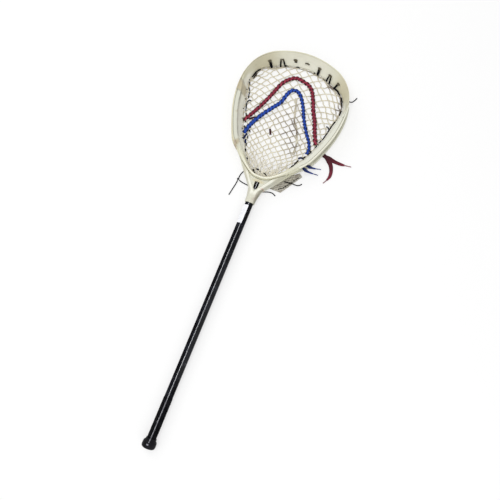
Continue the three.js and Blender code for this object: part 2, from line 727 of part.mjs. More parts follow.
const flapTailRoute = [
  [66, 788.4, 6.7], [70, 788.5, 7.3], [76, 788.8, 8.9], [83, 789.4, 9.3], [90, 790.2, 7.8], [97, 791.2, 4],
  [104, 792.6, 1.6], [110, 796, 1.6], [114, 801, 1.6],
];
const leftKnotPlace = [-58.6, 750.3, 4];

// A lace tip: a thin stiff sleeve that runs on from a tail's end
function laceTip(route, ahead, length) {
  const end = new THREE.Vector3(...route[route.length - 1]);
  const aim = new THREE.Vector3(...ahead).normalize();
  const tip = new THREE.CylinderGeometry(tipTaperShare * tipRadius, tipRadius, length, 8);
  tip.applyQuaternion(new THREE.Quaternion().setFromUnitVectors(new THREE.Vector3(0, 1, 0), aim));
  const middle = end.addScaledVector(aim, stringGap + length / 2);
  return tip.translate(middle.x, middle.y, middle.z);
}

const flatTail = (route, steps) => tube(route, tailWidth, tailThickness, steps);
const blueTail = (route, steps) => tube(route, blueTailWidth, tailThickness - stringGap, steps);
const stringTail = (route, steps) => tube(route, stringWidth, stringWidth, steps);

const group = new THREE.Group();
const stick = new THREE.Group();
stick.position.set(0, -stickLength / 2, 0);
group.add(stick);

function place(name, geometry, meshMaterial) {
  const mesh = new THREE.Mesh(geometry, meshMaterial);
  mesh.name = name;
  stick.add(mesh);
}

place('shaft', shaft(), blackAnodised);
place('grip_tape', gripTape(), blackTape);
place('butt_cap', buttCap(), blackRubber);
place('shaft_label', shaftLabel(), whitePaper);
place('head_frame', headFrame(), ivoryPlastic);
place('head_screw', headScrew(), steel);
place('pocket_mesh', pocketMesh(), creamCord);
place('mesh_end_flap', meshEndFlap(), creamCord);
place('flap_stitch', flapStitch(), blackString);
place('red_shooting_lace', shootingLace(redLaceShares), redLace);
place('blue_shooting_lace', shootingLace(blueLaceShares), blueLace);
place('top_string', topString(), blackString);
place('left_side_string', sideString(-1), blackString);
place('right_side_string', sideString(1), blackString);
place('throat_string', throatString(), blackString);
place('red_lace_tail_long', flatTail(redLongRoute, 8), redLace);
place('red_lace_tail_curved', flatTail(redCurvedRoute, 12), redLace);
place('red_tip_long', laceTip(redLongRoute, [18, 2, 0], redTipLength), redLace);
place('red_tip_curved', laceTip(redCurvedRoute, [-6, -11, 0], blueTipLength), redLace);
place('blue_lace_tail_upper', blueTail(blueUpperRoute, 8), blueLace);
place('blue_lace_tail_lower', blueTail(blueLowerRoute, 10), blueLace);
place('blue_tip_upper', laceTip(blueUpperRoute, [12, 3, -1], blueTipLength), blueLace);
place('blue_tip_lower', laceTip(blueLowerRoute, [18, 1, -1], blueTipLength), blueLace);
place('left_string_root', stringTail(leftRootRoute, 8), blackString);
place('left_string_tail', stringTail(leftTailRoute, 9), blackString);
place('left_string_branch', stringTail(leftBranchRoute, 8), blackString);
const leftKnot = new THREE.IcosahedronGeometry(knotRadius, 1).translate(...leftKnotPlace);
place('left_tail_knot', leftKnot, blackString);
place('right_string_tail', stringTail(rightTailRoute, 9), blackString);
place('throat_string_tail', stringTail(throatTailRoute, 9), blackString);
place('flap_string_tail', stringTail(flapTailRoute, 12), blackString);

export default group;
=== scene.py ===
# Lacrosse goalie stick lying face up on a pale floor: +X across the head, +Y from butt to scoop, +Z up.
# Lengths are in metres. Places along the stick are measured from the butt end, which lies at BUTT.

import math

import bpy
import numpy as np
from mathutils import Matrix, Vector, noise


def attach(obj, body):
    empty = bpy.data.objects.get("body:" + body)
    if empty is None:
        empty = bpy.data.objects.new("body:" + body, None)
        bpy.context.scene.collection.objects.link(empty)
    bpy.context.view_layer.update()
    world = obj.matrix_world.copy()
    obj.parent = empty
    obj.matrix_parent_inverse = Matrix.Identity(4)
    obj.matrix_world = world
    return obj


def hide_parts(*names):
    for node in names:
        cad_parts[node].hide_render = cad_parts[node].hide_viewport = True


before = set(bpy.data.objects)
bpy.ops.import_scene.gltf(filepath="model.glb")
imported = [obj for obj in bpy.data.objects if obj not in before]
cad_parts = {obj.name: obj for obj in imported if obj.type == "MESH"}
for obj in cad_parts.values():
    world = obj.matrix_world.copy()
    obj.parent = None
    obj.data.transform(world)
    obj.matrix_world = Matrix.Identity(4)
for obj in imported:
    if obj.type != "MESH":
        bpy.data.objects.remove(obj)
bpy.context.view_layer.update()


# Studio: the stick is seen from above its butt, a little to its right, through a plain lens.
# The floor and the surround are white to the camera, and the floor keeps a soft shadow.

STICK_LENGTH = 1.157
BUTT = -STICK_LENGTH / 2
VIEW_PLACE = (0.2146, 0.3644 + BUTT, 1.3473)
VIEW_RIGHT = (0.92559, 0.37448, -0.05524)
VIEW_UP = (-0.35886, 0.91453, 0.18670)
VIEW_BACK = (0.12043, -0.15299, 0.98086)
LENS = 36.0

view = bpy.data.objects.new("view", bpy.data.cameras.new("view"))
view.data.lens = LENS
view.data.sensor_width = LENS
view.data.shift_x = -0.0004
turn = Matrix((VIEW_RIGHT, VIEW_UP, VIEW_BACK)).transposed()
view.matrix_world = Matrix.Translation(VIEW_PLACE) @ turn.to_4x4()
bpy.context.scene.collection.objects.link(view)
bpy.context.scene.camera = view
bpy.context.scene.view_settings.view_transform = "Standard"


class Tone:
    """One output in a node tree. Arithmetic on it adds Math nodes."""

    def __init__(self, tree, socket=None):
        self.tree = tree
        self.socket = socket

    def node(self, kind, settings=None, inputs=None, output=0):
        made = self.tree.nodes.new(kind)
        for key, value in (settings or {}).items():
            setattr(made, key, value)
        for key, value in (inputs or {}).items():
            if isinstance(value, Tone):
                self.tree.links.new(value.socket, made.inputs[key])
            else:
                made.inputs[key].default_value = value
        return Tone(self.tree, made.outputs[output])

    def maths(self, operation, *values):
        return self.node("ShaderNodeMath", {"operation": operation}, dict(enumerate(values)))

    def __add__(self, other):
        return self.maths("ADD", self, other)

    def __radd__(self, other):
        return self.maths("ADD", other, self)

    def __sub__(self, other):
        return self.maths("SUBTRACT", self, other)

    def __rsub__(self, other):
        return self.maths("SUBTRACT", other, self)

    def __mul__(self, other):
        return self.maths("MULTIPLY", self, other)

    def __rmul__(self, other):
        return self.maths("MULTIPLY", other, self)

    def __truediv__(self, other):
        return self.maths("DIVIDE", self, other)


def own_place(tone):
    """The object's own coordinates."""
    return tone.node("ShaderNodeTexCoord", output=3)


def ramp(share, low, high):
    """Smooth 0 to 1 as share goes from low to high."""
    inputs = {0: share, 1: low, 2: high, 3: 0.0, 4: 1.0}
    return share.node("ShaderNodeMapRange", {"interpolation_type": "SMOOTHSTEP"}, inputs)


def surface(name, **sockets):
    """A material and its shader; plain numbers and colours go straight to the shader's sockets."""
    material = bpy.data.materials.new(name)
    material.use_nodes = True
    shader = material.node_tree.nodes["Principled BSDF"]
    for key, value in sockets.items():
        shader.inputs[key.replace("_", " ")].default_value = value
    return material, shader, Tone(material.node_tree)


def mesh_object(name, shape, material, smooth=True):
    """An object of points and faces, with run coordinates for each face where the shape has them."""
    points, faces, *uvs = shape
    mesh = bpy.data.meshes.new(name)
    mesh.from_pydata([tuple(p) for p in points], [], [tuple(f) for f in faces])
    mesh.materials.append(material)
    if uvs:
        layer = mesh.uv_layers.new(name="run")
        corners = np.array([uv for face in uvs[0] for uv in face], dtype=np.float32)
        layer.data.foreach_set("uv", corners.ravel())
    mesh.polygons.foreach_set("use_smooth", [smooth] * len(mesh.polygons))
    mesh.update()
    made = bpy.data.objects.new(name, mesh)
    bpy.context.scene.collection.objects.link(made)
    return made


def white_rays(tone):
    """One for the rays that find a white surround: the camera's, and what gloss and glass send on."""
    camera, glossy, through = (tone.node("ShaderNodeLightPath", output=k) for k in (0, 3, 6))
    return tone.maths("MAXIMUM", camera, tone.maths("MAXIMUM", glossy, through))


FLOOR_HALF = 6.0
floor_white, floor_shader, tone = surface("floor_white", Roughness=0.9)
floor_shader.inputs["Base Color"].default_value = (0.95, 0.95, 0.95, 1)
glow = tone.node("ShaderNodeEmission", None, {"Color": (1, 1, 1, 1), "Strength": 1.0})
seen = white_rays(tone)
away = tone.node("ShaderNodeVectorMath", {"operation": "LENGTH"}, {0: own_place(tone)}, 1)
shared = tone.node("ShaderNodeMixShader", None, {0: seen * (0.6 + 0.4 * ramp(away, 1.0, 3.0))})
links = floor_white.node_tree.links
links.new(floor_shader.outputs[0], shared.socket.node.inputs[1])
links.new(glow.socket, shared.socket.node.inputs[2])
links.new(shared.socket, floor_white.node_tree.nodes["Material Output"].inputs["Surface"])
corners = [(x * FLOOR_HALF, y * FLOOR_HALF, 0) for x, y in ((-1, -1), (1, -1), (1, 1), (-1, 1))]
floor = mesh_object("floor", (corners, [(0, 1, 2, 3)]), floor_white)

world = bpy.data.worlds.new("surround")
bpy.context.scene.world = world
world.use_nodes = True
sky = Tone(world.node_tree)
seen = white_rays(sky)
white = sky.node("ShaderNodeBackground", None, {"Color": (1, 1, 1, 1), "Strength": 1.0})
ambient = sky.node("ShaderNodeBackground", None, {"Color": (1, 1, 1, 1), "Strength": 0.78})
both = sky.node("ShaderNodeMixShader", None, {0: seen, 1: ambient, 2: white})
world.node_tree.links.new(both.socket, world.node_tree.nodes["World Output"].inputs["Surface"])


def lamp(name, place, size, power):
    """A round soft lamp, aimed at the stick's middle."""
    light = bpy.data.lights.new(name, "AREA")
    light.shape = "DISK"
    light.size = size
    light.energy = power
    made = bpy.data.objects.new(name, light)
    made.location = place
    made.rotation_euler = (-Vector(place)).to_track_quat("-Z", "Y").to_euler()
    bpy.context.scene.collection.objects.link(made)


lamp("soft_key", (-1.5, 1.1, 1.4), 1.4, 8)
lamp("soft_fill", (1.2, -1.5, 1.2), 2.0, 8)

# A long narrow lamp over the stick draws the thin bright line along the shaft's top flat.
light = bpy.data.lights.new("strip", "AREA")
light.shape = "RECTANGLE"
light.size = 0.09
light.size_y = 2.0
light.energy = 9
strip = bpy.data.objects.new("strip", light)
strip.location = (-0.32, -0.17, 2.0)
bpy.context.scene.collection.objects.link(strip)


# Loose tails: the lace and string ends that hang out of the wall's holes and lie on the floor.
# The laces are flat woven polyester, melted to a thin tip; the strings are braided nylon.

UP = (0, 0, 1)


def colour(value):
    return value if isinstance(value, Tone) else (*value, 1)


def mix(tone, share, first, second):
    inputs = {"Factor": share, 6: colour(first), 7: colour(second)}
    return tone.node("ShaderNodeMix", {"data_type": "RGBA"}, inputs, 2)


def axis(place, number=0):
    """One coordinate of a place: 0, 1 or 2 for X, Y or Z."""
    return place.node("ShaderNodeSeparateXYZ", None, {0: place}, number)


def wave(angle):
    return angle.maths("SINE", angle)


def attribute(tone, name):
    """A number kept for each point of the mesh by mark."""
    return tone.node("ShaderNodeAttribute", {"attribute_name": name}, output=2)


def speckle(tone, scale, detail=3.0, rough=0.55, place=None):
    """Noise over the object's own coordinates, in cells per metre."""
    inputs = {"Vector": place or own_place(tone), "Scale": scale, "Detail": detail, "Roughness": rough}
    return tone.node("ShaderNodeTexNoise", None, inputs)


def wire(shader, **sockets):
    for key, value in sockets.items():
        shader.id_data.links.new(value.socket, shader.inputs[key.replace("_", " ")])


def bump(tone, height, strength, depth):
    inputs = {"Height": height, "Strength": strength, "Distance": depth}
    return tone.node("ShaderNodeBump", None, inputs)


def mark(made, name, values):
    """Keeps one number for each point of a piece, for its material."""
    kept = made.data.attributes.new(name, "FLOAT", "POINT")
    kept.data.foreach_set("value", np.asarray(values, dtype=np.float32))


def run_along(path):
    """How far along a path each of its points lies."""
    return np.concatenate([[0], np.cumsum(np.linalg.norm(np.diff(path, axis=0), axis=1))])


def spline(controls, count, closed=False):
    """Evenly spaced points on a centripetal curve through the given ones."""
    controls = np.asarray(controls, dtype=float)
    if closed:
        hull = np.vstack([controls[-1], controls, controls[0], controls[1]])
    else:
        hull = np.vstack([2 * controls[0] - controls[1], controls, 2 * controls[-1] - controls[-2]])
    dense = []
    share = np.linspace(0, 1, 24, endpoint=False)[:, None]
    for a, b, c, d in zip(hull, hull[1:], hull[2:], hull[3:]):
        ab, bc, cd = (max(np.linalg.norm(q - p), 1e-9) ** 0.5 for p, q in ((a, b), (b, c), (c, d)))
        start = ((b - a) / ab - (c - a) / (ab + bc) + (c - b) / bc) * bc
        end = ((c - b) / bc - (d - b) / (bc + cd) + (d - c) / cd) * bc
        s2, s3 = share ** 2, share ** 3
        dense.append((2 * s3 - 3 * s2 + 1) * b + (s3 - 2 * s2 + share) * start
                     + (3 * s2 - 2 * s3) * c + (s3 - s2) * end)
    dense = np.vstack(dense + [hull[1] if closed else hull[-2]])
    run = run_along(dense)
    places = np.linspace(0, run[-1], count, endpoint=not closed)
    return np.stack([np.interp(places, run, dense[:, k]) for k in range(3)], axis=1)


def unit(vectors):
    return vectors / np.maximum(np.linalg.norm(vectors, axis=-1, keepdims=True), 1e-12)


def frames(path, up=None):
    """Tangent, side and over directions; without an up direction the frame turns as little as it can."""
    ahead = unit(np.gradient(path, axis=0))
    if up is not None:
        side = unit(np.cross(ahead, np.broadcast_to(up, ahead.shape)))
        return ahead, side, np.cross(side, ahead)
    start = np.eye(3)[np.argmin(np.abs(ahead[0]))]
    side = [unit(np.cross(ahead[0], start))]
    for tangent in ahead[1:]:
        side.append(unit(side[-1] - tangent * np.dot(side[-1], tangent)))
    side = np.array(side)
    return ahead, side, np.cross(side, ahead)


def tube(path, width, thickness, sides=10, up=None, turn=None, taper=None):
    """Points, faces and run coordinates of an oval tube, closed at both ends."""
    ahead, side, over = frames(path, up)
    count = len(path)
    taper = np.ones(count) if taper is None else taper
    turn = np.zeros(count) if turn is None else turn
    angle = np.arange(sides) * 2 * math.pi / sides
    across = np.cos(angle)[None, :] * width / 2 * taper[:, None]
    above = np.sin(angle)[None, :] * thickness / 2 * taper[:, None]
    c, s = np.cos(turn)[:, None], np.sin(turn)[:, None]
    x, y = across * c - above * s, across * s + above * c
    ring = path[:, None, :] + x[..., None] * side[:, None, :] + y[..., None] * over[:, None, :]
    run = run_along(path)
    faces, uvs = [], []
    for i in range(count - 1):
        for j in range(sides):
            k = (j + 1) % sides
            faces.append((i * sides + j, i * sides + k, (i + 1) * sides + k, (i + 1) * sides + j))
            u0, u1 = j / sides, (j + 1) / sides
            uvs.append(((u0, run[i]), (u1, run[i]), (u1, run[i + 1]), (u0, run[i + 1])))
    last = (count - 1) * sides
    faces.append(tuple(range(sides))[::-1])
    faces.append(tuple(last + j for j in range(sides)))
    uvs.extend([((0.5, run[0]),) * sides, ((0.5, run[-1]),) * sides])
    return ring.reshape(-1, 3), faces, uvs


def gather(parts):
    """Several tubes as one mesh."""
    points, faces, uvs, start = [], [], [], 0
    for part_points, part_faces, part_uvs in parts:
        points.append(part_points)
        faces.extend(tuple(i + start for i in face) for face in part_faces)
        uvs.extend(part_uvs)
        start += len(part_points)
    return np.vstack(points), faces, uvs


def woven(name, base, shade, rough, pitch, ribs, dust_and_sheen=0.35, sheen=0.35, deep=(0.1, 0.1, 0.1)):
    """Woven or braided cord, yarns crossing at a slant; fresh marks turn it light, soil and painted shade
    dark.
    """
    material, shader, tone = surface(name, Specular_IOR_Level=sheen)
    run = tone.node("ShaderNodeUVMap", {"uv_map": "run"})
    spun = axis(run) * ribs
    along = axis(run, 1) / pitch
    yarn = wave((along + spun) * (2 * math.pi)) * wave((along - spun) * (2 * math.pi)) * 0.5 + 0.5
    worn = speckle(tone, 260)
    # Lighter patches: dust, and on the laces also painted sheen.
    dust_and_sheen_patches = ramp(speckle(tone, 45, 2.0), 0.45, 0.7) * dust_and_sheen
    body = mix(tone, ramp(yarn + (worn - 0.5) * 0.8, 0.1, 0.75), shade, base)
    pale = tuple(min(1.0, 1.35 * c + 0.03) for c in base)
    dusted = mix(tone, attribute(tone, "fresh"), mix(tone, dust_and_sheen_patches, body, pale), (0.93, 0.90, 0.83))
    wire(shader, Base_Color=mix(tone, attribute(tone, "soil"), dusted, deep), Roughness=rough + worn * 0.15,
         Normal=bump(tone, yarn + worn * 0.4, 0.6, 0.0006))
    return material


# The laces' lighter patches are partly painted sheen highlights.
maroon = woven("maroon_lace", (0.36, 0.028, 0.066), (0.06, 0.004, 0.01), 0.72, 0.0021, 5, 0.30,
               deep=(0.022, 0.002, 0.005))
royal = woven("royal_lace", (0.016, 0.09, 0.56), (0.004, 0.014, 0.11), 0.7, 0.0021, 5, 0.22,
              deep=(0.003, 0.006, 0.040))
black_braid = woven("black_braid", (0.006, 0.006, 0.008), (0.002, 0.002, 0.003), 0.7, 0.0016, 3, 0.05, 0.06,
                    deep=(0.17, 0.15, 0.10))
pale_red = woven("maroon_lace_tip", (0.22, 0.035, 0.06), (0.10, 0.012, 0.025), 0.45, 0.003, 2)
pale_blue = woven("royal_lace_tip", (0.03, 0.05, 0.22), (0.012, 0.02, 0.10), 0.45, 0.003, 2)

# Each lace's finish, its tip's finish, its width and thickness, and how far its tails spread.
laces = {"red": (maroon, pale_red, 0.009, 0.003, 1.5), "blue": (royal, pale_blue, 0.005, 0.0024, 2.1)}
flat_tails = [
    ("red", "long", [
        (0.1385, 0.3231, 0.0035), (0.1431, 0.3213, 0.0035), (0.1495, 0.3207, 0.0021),
        (0.1561, 0.3202, 0.0017), (0.1761, 0.3162, 0.0017), (0.1941, 0.3152, 0.0017),
        (0.2061, 0.3162, 0.0017)], (0.018, 0.002, 0), 0.018),
    ("red", "curved", [
        (0.1385, 0.3231, 0.0068), (0.1431, 0.3213, 0.0068), (0.1505, 0.3181, 0.0060),
        (0.1585, 0.3126, 0.0044), (0.1661, 0.3061, 0.0026), (0.1715, 0.2986, 0.0019),
        (0.1770, 0.2846, 0.0018), (0.1781, 0.2696, 0.0018), (0.1741, 0.2576, 0.0018)],
        (-0.006, -0.011, 0), 0.013),
    ("blue", "upper", [
        (0.1069, 0.2735, 0.0215), (0.1111, 0.2709, 0.0215), (0.1165, 0.2705, 0.0199),
        (0.1224, 0.2723, 0.0145), (0.1275, 0.2747, 0.0089), (0.1325, 0.2771, 0.0043),
        (0.1353, 0.2781, 0.0031)], (0.012, 0.003, -0.001), 0.013),
    ("blue", "lower", [
        (0.0990, 0.2633, 0.0226), (0.1028, 0.2601, 0.0226), (0.1080, 0.2581, 0.0212),
        (0.1136, 0.2579, 0.0166), (0.1194, 0.2591, 0.0106), (0.1260, 0.2607, 0.0052),
        (0.1330, 0.2617, 0.0028)], (0.018, 0.001, -0.001), 0.013),
]
TIP_GAP = 0.0006
TIP_WIDTH = 0.0024
FLOOR_GAP = 0.0002
TAIL_POINTS = 40
TAIL_SIDES = 14
TIP_POINTS = 12

for lace_name, which, controls, aim, tip_length in flat_tails:
    finish, tip_finish, width, thickness, spread = laces[lace_name]
    path = spline(controls, TAIL_POINTS)
    share = np.linspace(0, 1, TAIL_POINTS)
    taper = np.interp(share, [0, 0.12, 0.3, 0.6, 0.85, 1], [1.2, 1.25, spread, 1.2, 1.0, 0.55])
    points, faces, uvs = tube(path, width, thickness, TAIL_SIDES, UP, None, taper)
    points[:, 2] = np.maximum(points[:, 2], FLOOR_GAP)
    tail = mesh_object(f"{lace_name}_tail_{which}", (points, faces, uvs), finish)
    mark(tail, "soil", np.repeat(np.interp(share, [0, 0.35, 1], [0.97, 0.8, 0.35]), TAIL_SIDES))
    aim = Vector(aim).normalized()
    start = Vector(controls[-1]) + aim * TIP_GAP
    tip_shares = np.linspace(0, 1, TIP_POINTS)
    tip_path = np.array([start + aim * (tip_length * part) for part in tip_shares])
    tip_taper = np.interp(tip_shares, [0, 0.3, 1], [1.25, 1.15, 0.95])
    tip_shape = tube(tip_path, TIP_WIDTH, TIP_WIDTH, 10, UP, None, tip_taper)
    tip = mesh_object(f"{lace_name}_tail_{which}_tip", tip_shape, tip_finish)
    for piece in (tail, tip):
        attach(piece, "root")
    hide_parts(f"{lace_name}_lace_tail_{which}")
    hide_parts(f"{lace_name}_tip_{which}")

STRING = 0.0026
KNOT_PLACE = (-0.0586, 0.1718, 0.0040)
KNOT_RADIUS = 0.0034
string_tails = [
    ("left_string_root", "bare", [
        (-0.0450, 0.2065, 0.0056), (-0.0510, 0.2000, 0.0036), (-0.0555, 0.1935, 0.0022),
        (-0.0580, 0.1845, 0.0017), (-0.0585, 0.1757, 0.0022)]),
    ("left_string_tail", "bare", [
        (-0.0588, 0.1679, 0.0024), (-0.0600, 0.1565, 0.0016), (-0.0625, 0.1415, 0.0016),
        (-0.0660, 0.1205, 0.0016)]),
    ("left_string_branch", "object", [
        (-0.0548, 0.1703, 0.0026), (-0.0450, 0.1675, 0.0017), (-0.0360, 0.1661, 0.0017),
        (-0.0280, 0.1651, 0.0024), (-0.0215, 0.1645, 0.0034)]),
    ("right_string_tail", "bare", [
        (0.1396, 0.4985, 0.0088), (0.1440, 0.4991, 0.0088), (0.1496, 0.4993, 0.0074),
        (0.1556, 0.4999, 0.0052), (0.1606, 0.5029, 0.0032), (0.1656, 0.5109, 0.0017),
        (0.1694, 0.5199, 0.0016)]),
    ("throat_string_tail", "bare", [
        (0.0160, 0.1595, 0.0036), (0.0240, 0.1630, 0.0028), (0.0360, 0.1675, 0.0017),
        (0.0470, 0.1680, 0.0016), (0.0570, 0.1635, 0.0016)]),
    ("flap_string_tail", "bare", [
        (0.0660, 0.2099, 0.0067), (0.0700, 0.2100, 0.0073), (0.0760, 0.2103, 0.0089),
        (0.0830, 0.2109, 0.0093), (0.0900, 0.2117, 0.0078), (0.0970, 0.2127, 0.0040),
        (0.1040, 0.2141, 0.0016), (0.1100, 0.2175, 0.0016), (0.1140, 0.2225, 0.0016)]),
]

# The knot is an overhand hitch, pulled tight.
turns = np.linspace(0, 2 * math.pi, 60)
hitch = np.stack([np.sin(turns) + 2 * np.sin(2 * turns), np.cos(turns) - 2 * np.cos(2 * turns),
                  -np.sin(3 * turns)], axis=1) * KNOT_RADIUS * 0.26 + np.array(KNOT_PLACE)
knot = mesh_object("tail_knot", tube(hitch, STRING * 0.85, STRING * 0.85, 8), black_braid)
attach(knot, "root")
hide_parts("left_tail_knot")

for node, far_end, controls in string_tails:
    path = spline(controls, TAIL_POINTS)
    tail = mesh_object(node + "_cord", tube(path, STRING * 1.18, STRING * 1.1, 10, UP), black_braid)
    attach(tail, "root")
    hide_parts(node)
    [knot] if node == "left_string_root" else []


# Moulded head: nylon hoop with a slanted scoop, flanged side walls, a narrow ball stop and two throat
# arms that close on the socket. It is one moulding, faintly yellowed, scuffed and stained from use.

RIM_HEIGHT = 0.044
HALF_WIDTH = 0.160
BASKET = 0.393
RIM_START = 0.764 + BUTT
MOUTH = 0.693 + BUTT
WALL = 0.027
SCOOP = 0.0245
STOP = 0.0075
ARCH = 0.0075
RAIL_FLARE = 0.004
STEP_IN = 0.0055
WALL_ROUND = 0.0011
SHAFT_HEIGHT = 0.0185
SOCKET_HALF = 0.0132
SOCKET_WALL = 0.0022
SOCKET_END = 0.7543 + BUTT
BORE_GAP = 0.0003
ARM_WALL = 0.0042
THROAT_ROUND = 0.0016
HOLE_RADIUS = 0.0022
TOP_HOLE_RADIUS = 0.0024
TOOL_SPARE = 0.002
TOP_PITCH = 0.0405
SIDE_PITCH = 0.033

rim_shares = [
    (0, 0), (0.09, 0.003), (0.19, 0.02), (0.31, 0.056), (0.45, 0.104), (0.6, 0.163), (0.7, 0.209),
    (0.78, 0.27), (0.8625, 0.351), (0.9375, 0.443), (0.984, 0.537), (1, 0.626), (0.99, 0.702),
    (0.956, 0.763), (0.9, 0.819), (0.8, 0.878), (0.656, 0.929), (0.4875, 0.962), (0.2625, 0.9885), (0, 1)]
rim_half = [(x * HALF_WIDTH, RIM_START + y * BASKET, 0) for x, y in rim_shares]
rim_line = spline(rim_half + [(-x, y, z) for x, y, z in rim_half[-2:0:-1]], 2400, closed=True)
RIM_LENGTH = float(np.linalg.norm(np.roll(rim_line, -1, axis=0) - rim_line, axis=1).sum())

# The wall's section at a side, the scoop and the stop, as shares of its width and height, from the crest's
# outer edge over the flange, down the inner face, along the floor and up the back rail and its groove.
side_shares = np.array([
    (0, 0.9), (0.03, 0.975), (0.08, 1), (0.15, 0.995), (0.19, 0.955), (0.24, 0.952), (0.54, 0.935),
    (0.59, 0.915), (0.6, 0.87), (0.545, 0.83), (0.57, 0.78), (0.72, 0.47), (1, 0.13), (1, 0.03), (0.93, 0),
    (0.06, 0), (0, 0.04), (0, 0.3), (-0.03, 0.313), (-0.01, 0.318), (0.3, 0.36), (0.3, 0.8), (0.02, 0.86)])
scoop_shares = np.array([
    (0, 0.9), (0.03, 0.975), (0.08, 1), (0.14, 0.99), (0.18, 0.955), (0.22, 0.91), (0.32, 0.80),
    (0.35, 0.765), (0.38, 0.73), (0.395, 0.715), (0.41, 0.7), (0.66, 0.42), (0.95, 0.14), (1, 0.05),
    (0.96, 0), (0.76, 0), (0.72, 0.05), (0.53, 0.3), (0.50, 0.311), (0.47, 0.322), (0.34, 0.37),
    (0.22, 0.6), (0, 0.75)])
stop_shares = np.array([
    (0, 0.9), (0.04, 0.97), (0.12, 0.995), (0.35, 1), (0.6, 1), (0.66, 0.985), (0.73, 0.96),
    (0.76, 0.93), (0.78, 0.9), (0.79, 0.85), (0.8, 0.8), (0.9, 0.42), (1, 0.1), (1, 0.04), (0.93, 0),
    (0.06, 0), (0, 0.04), (0, 0.3), (0, 0.33), (0, 0.36), (0, 0.4), (0, 0.6), (0, 0.75)])
outer_side = np.array([True] * 6 + [False] * 9 + [True] * 8)
back_rail = np.array([False] * 15 + [True] * 6 + [False] * 2)
rail_edge = np.array([False] * 15 + [True] * 3 + [False] * 5)


def smooth_share(low, high, value):
    share = np.clip((value - low) / (high - low), 0, 1)
    return share * share * (3 - 2 * share)


def between(start, full, fade, end, value):
    """Rises from nothing at start to one at full, and falls again from fade to end."""
    return smooth_share(start, full, value) * (1 - smooth_share(fade, end, value))


def lift_at(y):
    """How far the back edge stands off the floor: raised at the throat, down past it."""
    return ARCH * (1 - smooth_share(0.17, 0.3, (y - RIM_START) / BASKET))


def station(distance):
    """The wall's place, inward direction, blend, pinch and width, this far round from the scoop's middle."""
    place = (0.5 - distance / RIM_LENGTH) % 1 * len(rim_line)
    low = int(place) % len(rim_line)
    high = (low + 1) % len(rim_line)
    point = rim_line[low] * (1 - place % 1) + rim_line[high] * (place % 1)
    tangent = unit(rim_line[(high + 2) % len(rim_line)] - rim_line[(low - 2) % len(rim_line)])
    inward = np.array([-tangent[1], tangent[0], 0])
    along = (point[1] - RIM_START) / BASKET
    stop = 1 - smooth_share(0.02, 0.2, along)
    scoop = smooth_share(0.57, 0.77, along)
    side = 1 - stop - scoop
    pinch = 1 - 0.42 * between(0.52, 0.74, 0.83, 0.94, along)
    width = pinch * (stop * STOP + side * WALL + scoop * SCOOP)
    return point, inward, stop, side, scoop, pinch, width


def beside_wall(count, share, gap):
    """A closed line of places round the rim, at a share of the wall's width and a gap further in."""
    line = []
    for i in range(count):
        point, inward, *_, width = station(i / count * RIM_LENGTH)
        line.append(point + inward * (width * share + gap))
    return np.array(line)


def wall_ring(distance):
    """The wall's section at a distance along the rim."""
    point, inward, stop, side, scoop, pinch, _ = station(distance)
    along = (point[1] - RIM_START) / BASKET
    lift = lift_at(point[1])
    rail_end = smooth_share(0.745, 0.775, along)
    to_scoop = np.where(back_rail, rail_end, scoop)
    to_side = 1 - stop - to_scoop
    inset = stop * stop_shares[:, 0] * STOP + to_side * side_shares[:, 0] * WALL
    inset = pinch * (inset + to_scoop * scoop_shares[:, 0] * SCOOP)
    share = stop * stop_shares[:, 1] + to_side * side_shares[:, 1] + to_scoop * scoop_shares[:, 1]
    flare = RAIL_FLARE * (0.7 * smooth_share(0.14, 0.25, along) + 0.3 * smooth_share(0.42, 0.62, along))
    inset = inset - np.where(rail_edge, flare * (1 - rail_end), 0)
    inset = inset + np.where(outer_side, STEP_IN * side * (1 - smooth_share(0.153, 0.165, along)), 0)
    ring = point + inset[:, None] * inward
    ring[:, 2] = lift + share * (RIM_HEIGHT - lift)
    return ring


def rounded(ring, radius, steps=4):
    """Rounds a closed ring's corners, each by an arc that takes up to the radius of both its sides."""
    before, after = np.roll(ring, 1, axis=0) - ring, np.roll(ring, -1, axis=0) - ring
    start = ring + unit(before) * np.minimum(radius, 0.42 * np.linalg.norm(before, axis=1))[:, None]
    end = ring + unit(after) * np.minimum(radius, 0.42 * np.linalg.norm(after, axis=1))[:, None]
    share = np.linspace(0, 1, steps + 1)[None, :, None]
    start, middle, end = start[:, None], ring[:, None], end[:, None]
    arcs = (1 - share) ** 2 * start + 2 * share * (1 - share) * middle + share ** 2 * end
    return arcs.reshape(-1, 3)


def loft(rings, closed):
    """Points and faces through like rings, closed on itself or filled at its ends."""
    count = len(rings[0])
    faces = []
    for i in range(len(rings) - (0 if closed else 1)):
        here, after = i * count, (i + 1) % len(rings) * count
        for j in range(count):
            k = (j + 1) % count
            faces.append((here + j, after + j, after + k, here + k))
    if not closed:
        last = (len(rings) - 1) * count
        faces.append(tuple(range(count)))
        faces.append(tuple(last + j for j in range(count))[::-1])
    return np.vstack(rings), faces


def outward(made):
    """Turns every face of a closed object outward."""
    bpy.context.view_layer.objects.active = made
    made.select_set(True)
    bpy.ops.object.mode_set(mode="EDIT")
    bpy.ops.mesh.select_all(action="SELECT")
    bpy.ops.mesh.normals_make_consistent(inside=False)
    bpy.ops.object.mode_set(mode="OBJECT")
    made.select_set(False)
    return made


def settle(made):
    """Applies an object's modifiers."""
    depsgraph = bpy.context.evaluated_depsgraph_get()
    mesh = bpy.data.meshes.new_from_object(made.evaluated_get(depsgraph))
    made.modifiers.clear()
    made.data = mesh
    return made


def cut(made, tool, operation):
    step = made.modifiers.new(operation.lower(), "BOOLEAN")
    step.operation = operation
    step.solver = "MANIFOLD"
    step.object = tool
    settle(made)
    bpy.data.objects.remove(tool)


def smooth_sides(made, angle):
    """Smooth shading, with edges sharper than the angle left crisp."""
    made.data.polygons.foreach_set("use_smooth", [True] * len(made.data.polygons))
    made.data.set_sharp_from_angle(angle=math.radians(angle))


